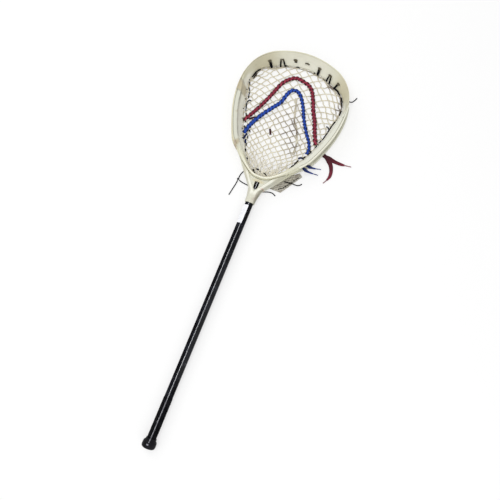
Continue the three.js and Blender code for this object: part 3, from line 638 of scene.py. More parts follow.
# The throat's half width, top and side groove from the socket's mouth to the arms' tops.
throat_table = np.array([
    (0, 0.0825, 0.72, 0), (0.11, 0.09, 0.72, 0), (0.27, 0.12, 0.735, 0), (0.385, 0.205, 0.77, 0),
    (0.58, 0.345, 0.86, 0.1), (0.7, 0.428, 0.91, 0.3), (0.77, 0.474, 0.93, 0.42), (0.92, 0.605, 0.96, 0.45),
    (1, 0.665, 0.965, 0.45)])
ARM_TOP = RIM_START + 0.2 * BASKET
# How far from the middle the arms' inner edges stand, by place along the stick.
ridge_places = (0.724, 0.728, 0.765, 0.80, 0.85)
ridge_halves = (0.0016, 0.0030, 0.0305, 0.054, 0.085)
RIDGE_LIP = 0.0012
RIDGE_TOP = 0.0013
RIDGE_SPARE = 0.0018
SHELF_DROP = 0.0024


def throat_ring(along, wall, low):
    """One section of the throat, with the arms' inner edges raised either side of the shelf."""
    half, top, groove = (np.interp(along, throat_table[:, 0], throat_table[:, k]) for k in (1, 2, 3))
    y = MOUTH + along * (ARM_TOP - MOUTH)
    v = y - BUTT
    x = half * HALF_WIDTH - wall
    high = top * RIM_HEIGHT - wall
    corner = 0.5 * SOCKET_HALF
    edge = corner * (1 - 0.7 * smooth_share(0.2, 0.5, along))
    span = high - low - 2 * corner
    g = [low + corner + share * span for share in (0.12, 0.24, 0.84, 0.96)]
    groove_x = x - groove * WALL
    ridge = min(np.interp(v, ridge_places, ridge_halves), x - corner - RIDGE_SPARE)
    sunk = SHELF_DROP * smooth_share(0.722, 0.733, v) if wall == 0 else 0
    drop = 0.0006 + 0.0034 * smooth_share(0.728, 0.765, v) if wall == 0 else 0
    right = [(x - edge, low), (x, low + edge), (x, g[0]), (groove_x, g[1]), (groove_x, g[2]),
             (x, g[3] - drop), (x, high - corner - drop)]
    brow, crest, shelf = x - corner * 0.7, ridge + RIDGE_TOP, ridge - RIDGE_LIP
    right += [(brow + (crest - brow) * share, high - drop * (1 - share)) for share in np.linspace(0, 1, 7)]
    right += [(ridge, high), (shelf, high - sunk)]
    right += [(shelf * share, high - sunk) for share in (0.86, 0.72, 0.58, 0.44, 0.3, 0.16, 0.04)]
    ring = right + [(-px, pz) for px, pz in reversed(right)]
    return np.array([(px, y, pz) for px, pz in ring])


def octagon(grow):
    side = 0.011 + grow
    more = grow * math.tan(math.pi / 8)
    top, flank = 0.0022 + more, 0.0044 + more
    return [(top, side), (side, flank), (side, -flank), (top, -side),
            (-top, -side), (-side, -flank), (-side, flank), (-top, side)]


def section(outline, y):
    """An outline in X and height about the shaft's middle, set across the stick at y."""
    return np.array([(px, y, SHAFT_HEIGHT + pz) for px, pz in outline])


def solid(name, rings, material, closed=False, smooth=True):
    return outward(mesh_object(name, loft(rings, closed), material, smooth))


def bar(name, grow, start, end, material):
    """A solid length of the shaft's outline, to cut a bore with."""
    return solid(name, [section(octagon(grow), y) for y in (start, end)], material, smooth=False)


nylon, shader, tone = surface("ivory_nylon", Specular_IOR_Level=0.4)
patchy = speckle(tone, 9, 4.0)
fine = speckle(tone, 90, 4.0)
grit = speckle(tone, 700, 2.0)
blotch = speckle(tone, 38, 5.0, 0.7)
wear_names = ("grime", "pale", "tan", "stain", "scuff", "rust", "polish")
grime, pale, tan, stain, scuff, rust, polish = (attribute(tone, name) for name in wear_names)
cast = mix(tone, ramp(patchy, 0.35, 0.7), (0.70, 0.685, 0.525), (0.63, 0.61, 0.45))
cast = mix(tone, pale, cast, (0.63, 0.635, 0.55))
cast = mix(tone, tan * (0.55 + 0.6 * blotch), cast, (0.60, 0.53, 0.36))
cast = mix(tone, ramp(fine, 0.56, 0.75) * 0.3, cast, (0.52, 0.49, 0.37))
stained = stain * (0.45 + 0.55 * ramp(blotch + (fine - 0.5) * 0.5, 0.15, 0.6))
cast = mix(tone, stained, cast, (0.42, 0.35, 0.22))
cast = mix(tone, scuff * ramp(blotch + (fine - 0.5) * 0.6, 0.3, 0.6), cast, (0.42, 0.34, 0.29))
cast = mix(tone, rust * ramp(fine, 0.25, 0.5), cast, (0.40, 0.13, 0.09))
# Painted light: lighter colour on the arm ridges, the lip, the right crest, the inner walls and the scoop's
# face.
cast = mix(tone, polish, cast, (0.91, 0.905, 0.81))
# Painted shade, with a little grime: darker in the rail's groove, under the flange's lip, at the lip's and
# crest's foot, on the right arm's face and down the socket's right side.
cast = mix(tone, grime * (0.65 + 0.5 * fine), cast, (0.19, 0.185, 0.125))
wire(shader, Base_Color=cast, Roughness=0.38 + ramp(fine, 0.4, 0.8) * 0.2,
     Normal=bump(tone, fine * 0.6 + grit * 0.15, 0.25, 0.0006))

RIM_STATIONS = 400
rings = [rounded(wall_ring(i / RIM_STATIONS * RIM_LENGTH), WALL_ROUND) for i in range(RIM_STATIONS)]
head = solid("head", rings, nylon, closed=True)
THROAT_STATIONS = 110
rings = [rounded(throat_ring(i / THROAT_STATIONS, 0, SHAFT_HEIGHT - SOCKET_HALF), THROAT_ROUND)
         for i in range(THROAT_STATIONS + 1)]
middle = rings[0].mean(axis=0)
for back, shrink in ((0.0003, 0.0003), (0.0, 0.0010)):
    eased = rings[0] - unit(rings[0] - middle) * shrink
    eased[:, 1] = MOUTH + back - 0.0004
    rings.insert(0, eased)
throat = solid("throat", rings, nylon)
hollow_rings = [throat_ring(along, ARM_WALL, -TOOL_SPARE) for along in np.linspace(0.385, 0.92, 24)]
hollow = solid("hollow", hollow_rings, nylon)
cut(hollow, bar("socket_tube", SOCKET_WALL, MOUTH, RIM_START + STOP, nylon), "DIFFERENCE")
cut(throat, hollow, "DIFFERENCE")
mid_line = beside_wall(240, 0.5, 0)
basket_rings = [mid_line + (0, 0, height) for height in (-TOOL_SPARE, RIM_HEIGHT + TOOL_SPARE)]
cut(throat, solid("basket_tool", basket_rings, nylon), "DIFFERENCE")
cut(head, throat, "UNION")
cut(head, bar("bore", BORE_GAP, MOUTH - TOOL_SPARE, SOCKET_END, nylon), "DIFFERENCE")
window_top = RIM_START - SOCKET_HALF * 0.7
window = [(0, -0.0250), (0.0030, -0.0222), (0.0057, -0.0178), (0.0067, -0.0130), (0.0067, -0.0010),
          (0.0056, 0)]
window += [(-px, py) for px, py in window[:0:-1]]
rings = [np.array([(x, window_top + y, z) for x, y in window])
         for z in (SHAFT_HEIGHT, RIM_HEIGHT + TOOL_SPARE)]
cut(head, solid("window_tool", rings, nylon), "DIFFERENCE")


def rod(centre, direction, radius, length):
    """A drill through a wall."""
    line = centre + unit(direction) * np.linspace(-length / 2, length / 2, 3)[:, None]
    return tube(line, 2 * radius, 2 * radius, 14)


SIDE_HOLES = (5.4, 6.4, 7.4, 8.4, 9.4, 10.4, 11.4, 12.4)
SIDE_HOLE_HEIGHT = 0.11
rods = []
for hole in range(-3, 4):
    point, inward, _, _, _, pinch, _ = station(hole * TOP_PITCH)
    centre = point + inward * 0.62 * SCOOP * pinch + (0, 0, 0.47 * RIM_HEIGHT)
    rods.append(rod(centre, inward + (0, 0, SCOOP / RIM_HEIGHT), TOP_HOLE_RADIUS, WALL))
for side in (-1, 1):
    rows = [(share * SIDE_PITCH, SIDE_HOLE_HEIGHT) for share in (*SIDE_HOLES, 10.85)]
    rows += [(share * SIDE_PITCH, 0.5) for share in (12.65, 13.08)]
    for distance, height in rows:
        point, inward, *_, width = station(side * distance)
        centre = point + inward * width / 2 + (0, 0, lift_at(point[1]) + height * RIM_HEIGHT)
        rods.append(rod(centre, inward, HOLE_RADIUS, 2 * WALL))
cut(head, outward(mesh_object("drills", gather(rods)[:2], nylon)), "DIFFERENCE")
smooth_sides(head, 38)

# Wear and painted light: numbers kept for each point say how much painted shade and grime, paleness, tan,
# stain, scuff, rust and painted light it has.
# In millimetres, x is across, v along from the butt, z above the floor and inset inward from the rim.
places = np.empty(len(head.data.vertices) * 3, dtype=np.float32)
head.data.vertices.foreach_get("co", places)
places = places.reshape(-1, 3).astype(float)
places[:, 2] = np.maximum(places[:, 2], 0)
head.data.vertices.foreach_set("co", places.ravel().astype(np.float32))
nearest = np.concatenate([
    np.argmin(((chunk[:, None, :2] - rim_line[None, ::4, :2]) ** 2).sum(axis=2), axis=1)
    for chunk in np.array_split(places, 60)]) * 4
rim_ahead = unit(np.roll(rim_line, -3, axis=0) - np.roll(rim_line, 3, axis=0))
rim_inward = np.stack([-rim_ahead[:, 1], rim_ahead[:, 0], 0 * rim_ahead[:, 0]], axis=1)
inset = ((places - rim_line[nearest]) * rim_inward[nearest])[:, :2].sum(axis=1) * 1000
x, v, z = places[:, 0] * 1000, (places[:, 1] - BUTT) * 1000, places[:, 2] * 1000
along = (places[:, 1] - RIM_START) / BASKET


def spot(cx, cv, rx, rv, lean=0.0):
    """A soft patch over the points whose x and v are at hand, one at its middle."""
    dx, dv = (x - cx) - lean * (v - cv), v - cv
    return np.exp(-((dx / rx) ** 2 + (dv / rv) ** 2) ** 2)


on_side = between(0.1, 0.2, 0.72, 0.8, along)
flange = (z > 38.5) & (inset > 4) & (inset < 17.5)
groove = (z > 11) & (z < 37) & (inset > -0.45) & (inset < 9.5) & ((z > 14) | (inset > 1.5) | (x > 0))
groove = groove * np.where((z < 15.5) & (x > 0), 0.52, 0.22) * between(0.14, 0.3, 0.62, 0.74, along)
undercut = smooth_share(29, 34, z) * (z < 39.5) * between(0.12, 0.3, 0.56, 0.72, along)
undercut = undercut * (inset > 8.0 + 5.5 * (1 - smooth_share(0.52, 0.74, along)))
inner_face = smooth_share(38, 33, z) * smooth_share(7, 10, inset) * (z > 4) * on_side
ridge_line = np.interp(v / 1000, ridge_places, ridge_halves) * 1000 + 0.3
off_ridge = np.abs(x) - ridge_line
on_ridge = between(-2.5, -0.5, 4.5, 9, off_ridge) * between(712, 722, 768, 778, v)
on_ridge = on_ridge * (z > 26) * (inset < -1)
arm_face = smooth_share(6, 9, off_ridge) * (v < 800) * (z > 18) * (inset < -1)
arm_places = (MOUTH - BUTT + throat_table[:, 0] * (ARM_TOP - MOUTH)) * 1000
arm_half = np.interp(v, arm_places, throat_table[:, 1] * HALF_WIDTH * 1000)
socket_side = (x > arm_half - 1.6) & (v < 738) & (z > 10)
on_lip = (inset > 0.8) & (inset < 4.0) & (z > 41) & (along < 0.16)
lip_foot = (inset > -2.0) & (inset < -0.05) & (z > 30) & (along < 0.12)
crest = (inset < 3.6) & (z > 40.5) & (along > 0.16) & (along < 0.72)
left_band = between(982, 990, 1012, 1022, v) * (x < -110) * (z > 3)
band_ends = (np.exp(-((v - 986) / 2.2) ** 2) + np.exp(-((v - 1019) / 2.5) ** 2)) * (x < -126) * (z > 20)
crest_foot = (z > 41.2) & (z < 42.6) & (inset > 2.4) & (inset < 6.2) & (along > 0.16)
crest_foot = crest_foot * (0.35 + 0.65 * np.maximum(on_side, spot(-125, 1085, 42, 50))) * (1 - left_band)
undercut = undercut * (1 - 0.5 * spot(-130, 925, 40, 35)) * (1 - 0.8 * left_band)
# The shade and grime mark is mostly painted shade in recesses and on faces turned from the light, with a
# little grime at the stained band's ends and on the scoop's left; the painted light mark lifts ridges, lip,
# right crest, inner walls and the scoop's face.
wear = {
    "grime": groove + 0.85 * undercut + 0.9 * lip_foot + 0.8 * crest_foot + 0.5 * band_ends
    + arm_face * np.where(x > 0, 0.40, 0.16) + 0.10 * spot(-112, 1100, 40, 44) + 0.6 * socket_side,
    "polish": (1 - 0.85 * left_band) * np.clip(
        0.65 * on_ridge + 0.6 * on_lip + 0.6 * crest * (x > 0) + inner_face * np.where(x > 0, 0.8, 0.85)
        + 0.25 * flange * on_side * (x > 0) + 0.75 * spot(5, 1125, 90, 34) * (inset > 4), 0, 1),
    "pale": 0.9 * flange * on_side * np.where(x < 0, smooth_share(992, 984, v), 1)
    + 0.6 * (x > 60) * (z < 34) * on_side
    + 0.8 * smooth_share(800, 770, v) * (inset < -1) * (1 - spot(1, 756, 17, 5)),
    "tan": 0.2 * (x < -30) * (z < 38) * on_side + 0.6 * crest * (x < 0) + 0.8 * spot(1, 756, 17, 5)
    + 0.15 * smooth_share(752, 732, v) + 0.5 * spot(125, 1095, 34, 50) + 0.5 * spot(-112, 1100, 42, 46)
    + 0.45 * spot(-38, 775, 20, 16) + 0.3 * spot(44, 782, 14, 18),
    "stain": 0.72 * left_band + 1.0 * spot(-99, 834, 9, 17, 0.4) + 0.8 * spot(-128, 926, 4, 5)
    + 0.35 * spot(-30, 757, 9, 7),
    "scuff": 0.9 * spot(-103, 830, 5, 12, 0.4) + 0.5 * spot(-150, 1015, 5, 4)
    + 0.75 * spot(15, 716, 9, 20, 0.3) + 0.4 * spot(-16, 728, 6, 14),
    "rust": 0.8 * spot(18.5, 739.5, 7.0, 1.8),
}
for name, amount in wear.items():
    mark(head, name, np.clip(amount, 0, 1))
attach(head, "root")
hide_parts("head_frame")


# Pocket mesh: knotted polyester cord in diamonds, strung flat across the back of the hoop. It is wide
# open at the scoop, bunched in folds at the ball stop, creased down its right side and grey with use.

MESH_LOW = 0.0028
MESH_EDGE = 0.0010
STRAND = 0.0030
KNOT_WIDTH = 0.0029
KNOT_THICKNESS = 0.0022
COLUMNS = 10.3
FOLDS = 28

EDGE_COUNT = 480
mesh_edge = beside_wall(EDGE_COUNT, 1, MESH_EDGE + STRAND / 2)
MESH_CENTRE = np.array([0, 0.955 + BUTT])


def mesh_level(y):
    """How high the mesh's cord runs."""
    return MESH_LOW + 0.8 * lift_at(y)


def edge_reach(outline):
    """How far the outline lies from the mesh's middle, by angle."""
    spokes = outline[:, :2] - MESH_CENTRE
    angles = np.arctan2(spokes[:, 1], spokes[:, 0])
    order = np.argsort(angles)
    return angles[order], np.linalg.norm(spokes, axis=1)[order]


edge_angles, edge_radii = edge_reach(mesh_edge)


def inside_share(x, y):
    """Below one inside the mesh's edge."""
    angle = np.arctan2(y - MESH_CENTRE[1], x - MESH_CENTRE[0])
    reach = np.interp(angle, edge_angles, edge_radii, period=2 * math.pi)
    return np.hypot(x - MESH_CENTRE[0], y - MESH_CENTRE[1]) / reach


# Rows of knots follow the scoop's curve at the top and straighten lower down.
scoop_drop = np.array([
    (0, 0), (0.047, 0.007), (0.087, 0.019), (0.116, 0.040), (0.130, 0.054), (0.145, 0.074)])
drop_shares = np.array([(0.80, 0.0), (0.88, 0.08), (0.95, 0.32), (1.02, 0.5), (1.08, 0.75), (1.13, 1.0)])
row_heights = np.array([
    (0.770, 0.0150), (0.800, 0.0175), (0.830, 0.0190), (0.860, 0.0200), (0.900, 0.0210), (0.950, 0.0222),
    (1.000, 0.0235), (1.050, 0.0250), (1.160, 0.0260)])
draw = np.random.default_rng(11)
rows = [0.768]
while rows[-1] < 1.18:
    rows.append(rows[-1] + np.interp(rows[-1], row_heights[:, 0], row_heights[:, 1]) / 2)
rows = np.array(rows)
column_halves = int(COLUMNS) + 2
drift = draw.normal(0, 1, (len(rows), 2 * column_halves + 1, 3))

ROW_HALF = 0.150
ROW_STEPS = 300
row_lines, row_reaches = [], []
for v in rows:
    across = np.linspace(-ROW_HALF, ROW_HALF, 2 * ROW_STEPS + 1)
    share = np.interp(v, drop_shares[:, 0], drop_shares[:, 1])
    down = share * np.interp(np.abs(across), scoop_drop[:, 0], scoop_drop[:, 1])
    y = v + BUTT - down
    run = run_along(np.stack([across, y], axis=1))
    run -= run[ROW_STEPS]
    held = (inside_share(across, y) < 1) & (np.abs(across) < 0.149)
    row_lines.append((across, y, run))
    row_reaches.append(run[held].max() if held.sum() > 40 and v < 1.10 else 0)
row_reaches = np.array(row_reaches)
whole = row_reaches > 0
row_reaches = np.interp(rows, rows[whole], row_reaches[whole])


def knot_place(i, j):
    """Knot i half-columns from the middle in half-row j; the columns crowd to the right low down."""
    across, line_y, run = row_lines[j]
    share = i / np.interp(rows[j], (0.77, 0.83, 0.90, 0.96, 1.05), (6.6, 7.8, 9.3, COLUMNS, 9.4))
    at = share * row_reaches[j]
    x = np.interp(at, run, across)
    y = np.interp(at, run, line_y)
    crowd = 0.010 * math.exp(-((rows[j] - 0.895) / 0.07) ** 2) * math.exp(-((share - 0.45) / 0.42) ** 2)
    nudge = drift[j, i + column_halves] * (0.0012, 0.0011, 0.00022)
    x += crowd + nudge[0]
    y += nudge[1]
    return np.array([x, y, mesh_level(y) + nudge[2]])


def net_cord(path):
    return tube(path, STRAND, STRAND * 0.9, 6, UP)


strands, knots = [], []
for j in range(len(rows)):
    for i in range(-column_halves, column_halves + 1):
        if (i + j) % 2:
            continue
        knot_here = knot_place(i, j)
        held = inside_share(*knot_here[:2]) < 1
        if held:
            knots.append((knot_here, i, j))
        for side in (-1, 1):
            if j + 1 >= len(rows) or abs(i + side) > column_halves:
                continue
            above = knot_place(i + side, j + 1)
            if not held and inside_share(*above[:2]) >= 1:
                continue
            way = above - knot_here
            lean = 0.12 * way
            across = np.array([-way[1], way[0], 0]) * 0.05 * drift[j, i + column_halves, 0]
            stand = np.array([side * 0.0005, 0, 0])
            path = spline([knot_here - stand - lean * 0.3, knot_here + stand + lean,
                           (knot_here + above) / 2 + across, above - stand - lean,
                           above + stand + lean * 0.3], 11)
            kept = inside_share(path[:, 0], path[:, 1]) < 1
            if kept.sum() < 3:
                continue
            strands.append(net_cord(path[kept]))
for place, i, j in knots:
    size = 0.0024 + 0.0002 * drift[j, i + column_halves, 1]
    turn_points = [place + (-size, -size * 0.5, -0.0003), place + (-size * 0.5, -size * 0.2, 0.0007),
                   place + (size * 0.5, size * 0.3, 0.0007), place + (size, size * 0.5, -0.0003)]
    strands.append(tube(spline(turn_points, 7), KNOT_WIDTH, KNOT_THICKNESS, 6, UP))

# The edge cord, loops beside it where the mesh is doubled, a crease on the right and folds at the stop.
around = np.linspace(0, 2 * math.pi, EDGE_COUNT, endpoint=False)
scallop = 0.0007 * np.sin(46 * around)[:, None]
inwards = unit(np.append(MESH_CENTRE, 0) - mesh_edge)
loop_line = mesh_edge + scallop * inwards
loop_line[:, 2] = mesh_level(loop_line[:, 1])
closed_line = np.vstack([loop_line, loop_line[:2]])
strands.append(tube(closed_line, STRAND * 0.9, STRAND * 0.8, 6, UP))
edge_loops = [
    (24, 62, 0.0046, 0.0012), (30, 66, 0.0080, 0.0018), (-62, -26, 0.0044, 0.0012),
    (-58, -30, 0.0076, 0.0016), (84, 118, 0.0034, 0.0010), (-112, -82, 0.0034, 0.001),
    (10, 28, 0.0040, 0.001), (-28, -8, 0.0034, 0.001)]
for start, end, depth, ripple in edge_loops:
    share = np.linspace(0, 1, 40)
    index = np.round(start + (end - start) * share).astype(int)
    further = depth * np.sin(math.pi * share) + ripple * np.sin(9 * share)
    path = mesh_edge[index] + further[:, None] * inwards[index]
    path[:, 2] = mesh_level(path[:, 1]) + 0.0006 + 0.0004 * np.sin(14 * share)
    strands.append(net_cord(spline(path[::4], 40)))
crease = [(0.006, 1.036), (0.014, 1.014), (0.026, 0.970), (0.040, 0.950), (0.056, 0.909), (0.059, 0.892),
          (0.060, 0.872)]
for shift, lift in ((-0.0012, 0.0012), (0.0014, 0.0016)):
    path = spline([(px + shift, pv + BUTT, mesh_level(pv + BUTT) + lift) for px, pv in crease], 70)
    path[:, 0] += 0.0007 * np.sin(np.linspace(0, 26, 70) + shift * 900)
    strands.append(net_cord(path))
half_widths = np.array([(0.770, 0.040), (0.790, 0.046), (0.805, 0.054), (0.830, 0.071), (0.873, 0.092)])
for fold in range(FOLDS):
    across = draw.uniform(-0.92, 0.92)
    low_v = draw.uniform(0.776, 0.790) + 0.016 * across * across
    long = draw.uniform(0.020, 0.048)
    controls = []
    for share in np.linspace(0, 1, 6):
        v = low_v + long * share
        half = np.interp(v, half_widths[:, 0], half_widths[:, 1])
        x = half * (across + 0.03 * math.sin(7 * share + fold)) + draw.normal(0, 0.0007)
        y = v + BUTT
        rise = 0.0012 + 0.0012 * math.sin(math.pi * share)
        controls.append((x, y, mesh_level(y) + rise + draw.normal(0, 0.0003)))
    path = spline(controls, 18)
    kept = inside_share(path[:, 0], path[:, 1]) < 0.99
    if kept.sum() > 5:
        strands.append(net_cord(path[kept]))

cream = woven("cream_cord", (0.84, 0.79, 0.63), (0.52, 0.46, 0.33), 0.85, 0.0024, 3,
              deep=(0.17, 0.13, 0.10))
points, faces, uvs = gather(strands)
pocket = mesh_object("pocket_net", (points, faces, uvs), cream)
x, v = points[:, 0] * 1000, (points[:, 1] - BUTT) * 1000
patch = 1.0 * spot(38, 915, 30, 46, -0.2) + 0.5 * spot(18, 975, 45, 60) + 1.0 * spot(131, 1055, 12, 40)
patch += 0.9 * spot(85, 1106, 20, 12) + 0.35 * spot(-128, 1060, 14, 40) + 0.25 * spot(-60, 950, 60, 80)
patchy = np.array([0.6 + 0.9 * noise.noise((float(a) / 16, float(b) / 16, 0.2)) for a, b in zip(x, v)])
# Painted shadow: the net darkens in a band along the scoop's edge; the other patches are dirt.
edge_shadow = smooth_share(0.95, 0.975, inside_share(points[:, 0], points[:, 1])) * (v > 1020)
mark(pocket, "fresh", 0.5 * smooth_share(856, 812, v))
mark(pocket, "soil", np.clip(patch * patchy + 0.45 * edge_shadow * patchy, 0, 0.9))
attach(pocket, "root")
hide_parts("pocket_mesh")


# Shooting laces: a maroon one and a royal blue one, each a flat woven lace doubled and twisted on itself
# as it is threaded through the mesh from wall to wall. They bend the ball's path as it leaves.

LACE_TWIST = 0.0225
LACE_POINTS = 260
END_WIDTH = 0.0058
END_THICKNESS = 0.0026
LACE_LIFT = 0.0037
LACE_SPREAD = 0.0028
STRAND_WIDTH = 0.0080
STRAND_THICKNESS = 0.0027


def on_head(shares, above):
    """Shares of the head's half width and the basket's length, as places above the mesh."""
    places = []
    for x, y in shares:
        y = RIM_START + y * BASKET
        places.append((x * HALF_WIDTH, y, MESH_LOW + above + lift_at(y)))
    return places


red_lace_shares = [
    (-0.684, 0.400), (-0.569, 0.489), (-0.462, 0.588), (-0.381, 0.679), (-0.306, 0.763), (-0.225, 0.807),
    (-0.1, 0.84), (0.019, 0.835), (0.162, 0.817), (0.244, 0.789), (0.331, 0.723), (0.419, 0.636),
    (0.506, 0.567), (0.594, 0.476), (0.68, 0.4)]
blue_lace_shares = [
    (-0.594, 0.305), (-0.55, 0.377), (-0.431, 0.476), (-0.294, 0.56), (-0.188, 0.623), (-0.138, 0.7),
    (-0.081, 0.738), (0.006, 0.745), (0.088, 0.723), (0.194, 0.659), (0.319, 0.552), (0.438, 0.468),
    (0.544, 0.405), (0.598, 0.354), (0.594, 0.31)]


def twisted(line, pitch, spread, width, thickness, swell):
    """Two flat strands wound round a line, and how far to its side each of their points lies."""
    run = run_along(line)
    _, side, over = frames(line, UP)
    wobble = np.array([noise.noise((float(r) * 40, 0.3, 0.7)) for r in run])
    phase = 2 * math.pi * run / pitch + 1.6 * wobble
    parts, offsets = [], []
    for start in (0, math.pi):
        angle = phase + start
        path = line + (np.cos(angle) * spread * swell)[:, None] * side
        path = path + (np.sin(angle) * spread * 0.55)[:, None] * over
        parts.append(tube(path, width, thickness, 12, UP, 0.4 * np.sin(angle), swell))
        away = parts[-1][0].reshape(len(line), 12, 3) - line[:, None]
        offsets.append(np.abs((away * side[:, None]).sum(axis=2)).ravel())
    return parts, np.concatenate(offsets)


lace_ends = {
    "red_shooting_lace_pair": [[(-0.1115, 0.9185), (-0.1060, 0.9255), (-0.1000, 0.9315)],
                               [(-0.0980, 0.9300), (-0.0900, 0.9350), (-0.0820, 0.9410)],
                               [(-0.0300, 0.9220), (-0.0262, 0.9145), (-0.0220, 0.9060)]],
    "blue_shooting_lace_pair": [[(-0.0860, 0.8860), (-0.0885, 0.8765), (-0.0900, 0.8670)],
                                [(-0.0835, 0.8680), (-0.0815, 0.8620), (-0.0790, 0.8560)],
                                [(0.0780, 0.8660), (0.0830, 0.8700), (0.0900, 0.8720)]],
}
for name, material, shares, swells, node, slot in (
        ("red_shooting_lace_pair", maroon, red_lace_shares, (0.95, 1.05),
         "red_shooting_lace", "red_lace"),
        ("blue_shooting_lace_pair", royal, blue_lace_shares, (1.08, 0.80),
         "blue_shooting_lace", "blue_lace")):
    line = spline(on_head(shares, LACE_LIFT), LACE_POINTS)
    swell = np.linspace(*swells, len(line))
    parts, offsets = twisted(line, LACE_TWIST, LACE_SPREAD, STRAND_WIDTH, STRAND_THICKNESS, swell)
    for places in lace_ends[name]:
        controls = [(px, pv + BUTT, MESH_LOW + lift_at(pv + BUTT) + rise)
                    for (px, pv), rise in zip(places, (0.0006, 0.0030, 0.0006))]
        parts.append(tube(spline(controls, 14), END_WIDTH, END_THICKNESS, 12, UP))
    points, faces, uvs = gather(parts)
    lace = mesh_object(name, (points, faces, uvs), material)
    # Painted shade: the strands darken where one dips under the other and along the twisted pair's outer
    # edges.
    middle = MESH_LOW + LACE_LIFT + np.array([lift_at(y) for y in points[:, 1]])
    soil = 0.95 * smooth_share(0.0019, 0.0007, points[:, 2] - middle)
    soil[:len(offsets)] = np.maximum(soil[:len(offsets)], 0.9 * smooth_share(0.0052, 0.0064, offsets))
    mark(lace, "soil", soil)
    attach(lace, "root")
    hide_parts(node)


# Strings: black braided nylon that ties the mesh to the hoop. Each runs hidden under the mesh's edge cord,
# comes up over it from hole to hole, and on the scoop is hitched through the row of holes.

STROKE = 0.0040
HIDDEN = 0.0012
HIDDEN_INSET = 0.0038

foot_angles, foot_radii = edge_reach(beside_wall(EDGE_COUNT, 1, STROKE / 2))


def held_in(x, y):
    """The place itself, or the nearest one inside the wall's foot."""
    spoke = np.array([x, y]) - MESH_CENTRE
    reach = np.interp(math.atan2(spoke[1], spoke[0]), foot_angles, foot_radii, period=2 * math.pi)
    return MESH_CENTRE + spoke * min(1, reach / np.linalg.norm(spoke))


def stroke(places, thick=STROKE):
    """A stretch of string that comes up over the edge cord and goes down again; places in millimetres."""
    controls = []
    for k, (x, v) in enumerate(places):
        x, y = held_in(x / 1000, v / 1000 + BUTT)
        at_end = k in (0, len(places) - 1)
        controls.append((x, y, mesh_level(y) + (-0.0004 if at_end else 0.0027)))
    if len(controls) == 2:
        (x0, y0, z), (x1, y1, _) = controls
        controls.insert(1, ((x0 + x1) / 2, (y0 + y1) / 2, z + 0.0030))
    path = spline(controls, 8 * len(controls))
    swell = 1 + 0.10 * np.sin(np.linspace(0, 2.5 * len(controls), len(path)))
    return tube(path, thick, thick * 0.92, 10, UP, None, swell)


def hidden_run(start, end):
    """The string's way under the edge cord, between two places along the rim."""
    line = []
    for distance in np.linspace(start, end, max(3, int(abs(end - start) / 0.004))):
        point, inward, *_, width = station(distance)
        place = point + inward * (width + HIDDEN_INSET)
        place[2] = mesh_level(place[1]) - 0.0014
        line.append(place)
    return tube(np.array(line), HIDDEN, HIDDEN, 8, UP)


def face_place(distance, inset, height):
    """A place on the scoop's slanted face, in shares of its run and of the rim's height."""
    point, inward, *_, pinch, _ = station(distance)
    off = unit(np.array([RIM_HEIGHT, SCOOP]))
    stand = STROKE / 2 + 0.0002
    place = point + inward * (inset * pinch * SCOOP + off[0] * stand)
    place[2] = height * RIM_HEIGHT + off[1] * stand
    return place


def cross_bar(distances, inset, height):
    """The turn of string that lies across a hole's mouth."""
    line = [face_place(distance, inset, height) for distance in distances]
    line[0][2] -= 0.002
    line[-1][2] -= 0.002
    return tube(spline(line, 12), STROKE, STROKE, 8, UP)


# What each hole on the scoop holds: how far its two strands' feet lie from it, and how far down they come.
hitches = [(-3, (0.0015, 0.0040), 1.0), (-2, (-0.0040, 0.0115), 1.0), (-1, (0.004, 0.0055), 0.45),
           (1, (0.0005, 0.0025), 1.0), (2, (-0.0030, 0.0100), 1.0), (3, (-0.0025, -0.0045), 1.0)]
top_parts = [hidden_run(-0.135, 0.135)]
for hole, feet, way in hitches:
    distance = hole * TOP_PITCH + (0.0020 if hole > -2 else 0)
    spots = ((0.62, 0.48), (0.73, 0.38), (0.86, 0.26), (0.99, 0.15))
    for side, foot in zip((-1, 1), feet):
        mouth = face_place(distance + side * HOLE_RADIUS, 0.52, 0.52)
        mouth[2] -= 0.003
        controls = [mouth]
        for k, (inset, height) in enumerate(spots):
            share = (k + 1) / (len(spots) + 1)
            if share > way:
                break
            at = distance + side * HOLE_RADIUS + (foot - side * 0.0016) * share
            controls.append(face_place(at, inset, height))
        if way == 1:
            foot_point, inward, *_, width = station(distance + foot)
            end = foot_point + inward * (width + 0.0020)
            end[2] = mesh_level(end[1]) + 0.0024
            under = end + inward * 0.0024 - (0, 0, 0.0036)
            controls += [end, under]
        top_parts.append(tube(spline(controls, 30), STROKE * 1.15, STROKE, 10, UP))
    if abs(hole) in (1, 3) or hole == 2:
        across = [distance + shift for shift in (-0.0050, -0.002, 0.002, 0.0050)]
        top_parts.append(cross_bar(across, 0.575, 0.52))
top_parts.append(cross_bar([shift + 0.001 for shift in (-0.0068, -0.003, 0.003, 0.0062)], 0.64, 0.455))
for places in ([(-62, 1117), (-57, 1122), (-51, 1123)], [(-30, 1130), (-24, 1131), (-18, 1131)],
               [(25, 1130), (28, 1130), (31, 1128)], [(56, 1121), (61, 1118), (66, 1115)]):
    top_parts.append(stroke(places, 0.0026))
points, faces, uvs = gather(top_parts)
top = mesh_object("top_string_hitches", (points, faces, uvs), black_braid)
mark(top, "soil", 0.75 * smooth_share(0.42, 0.54, points[:, 2] / RIM_HEIGHT))
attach(top, "root")
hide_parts("top_string")

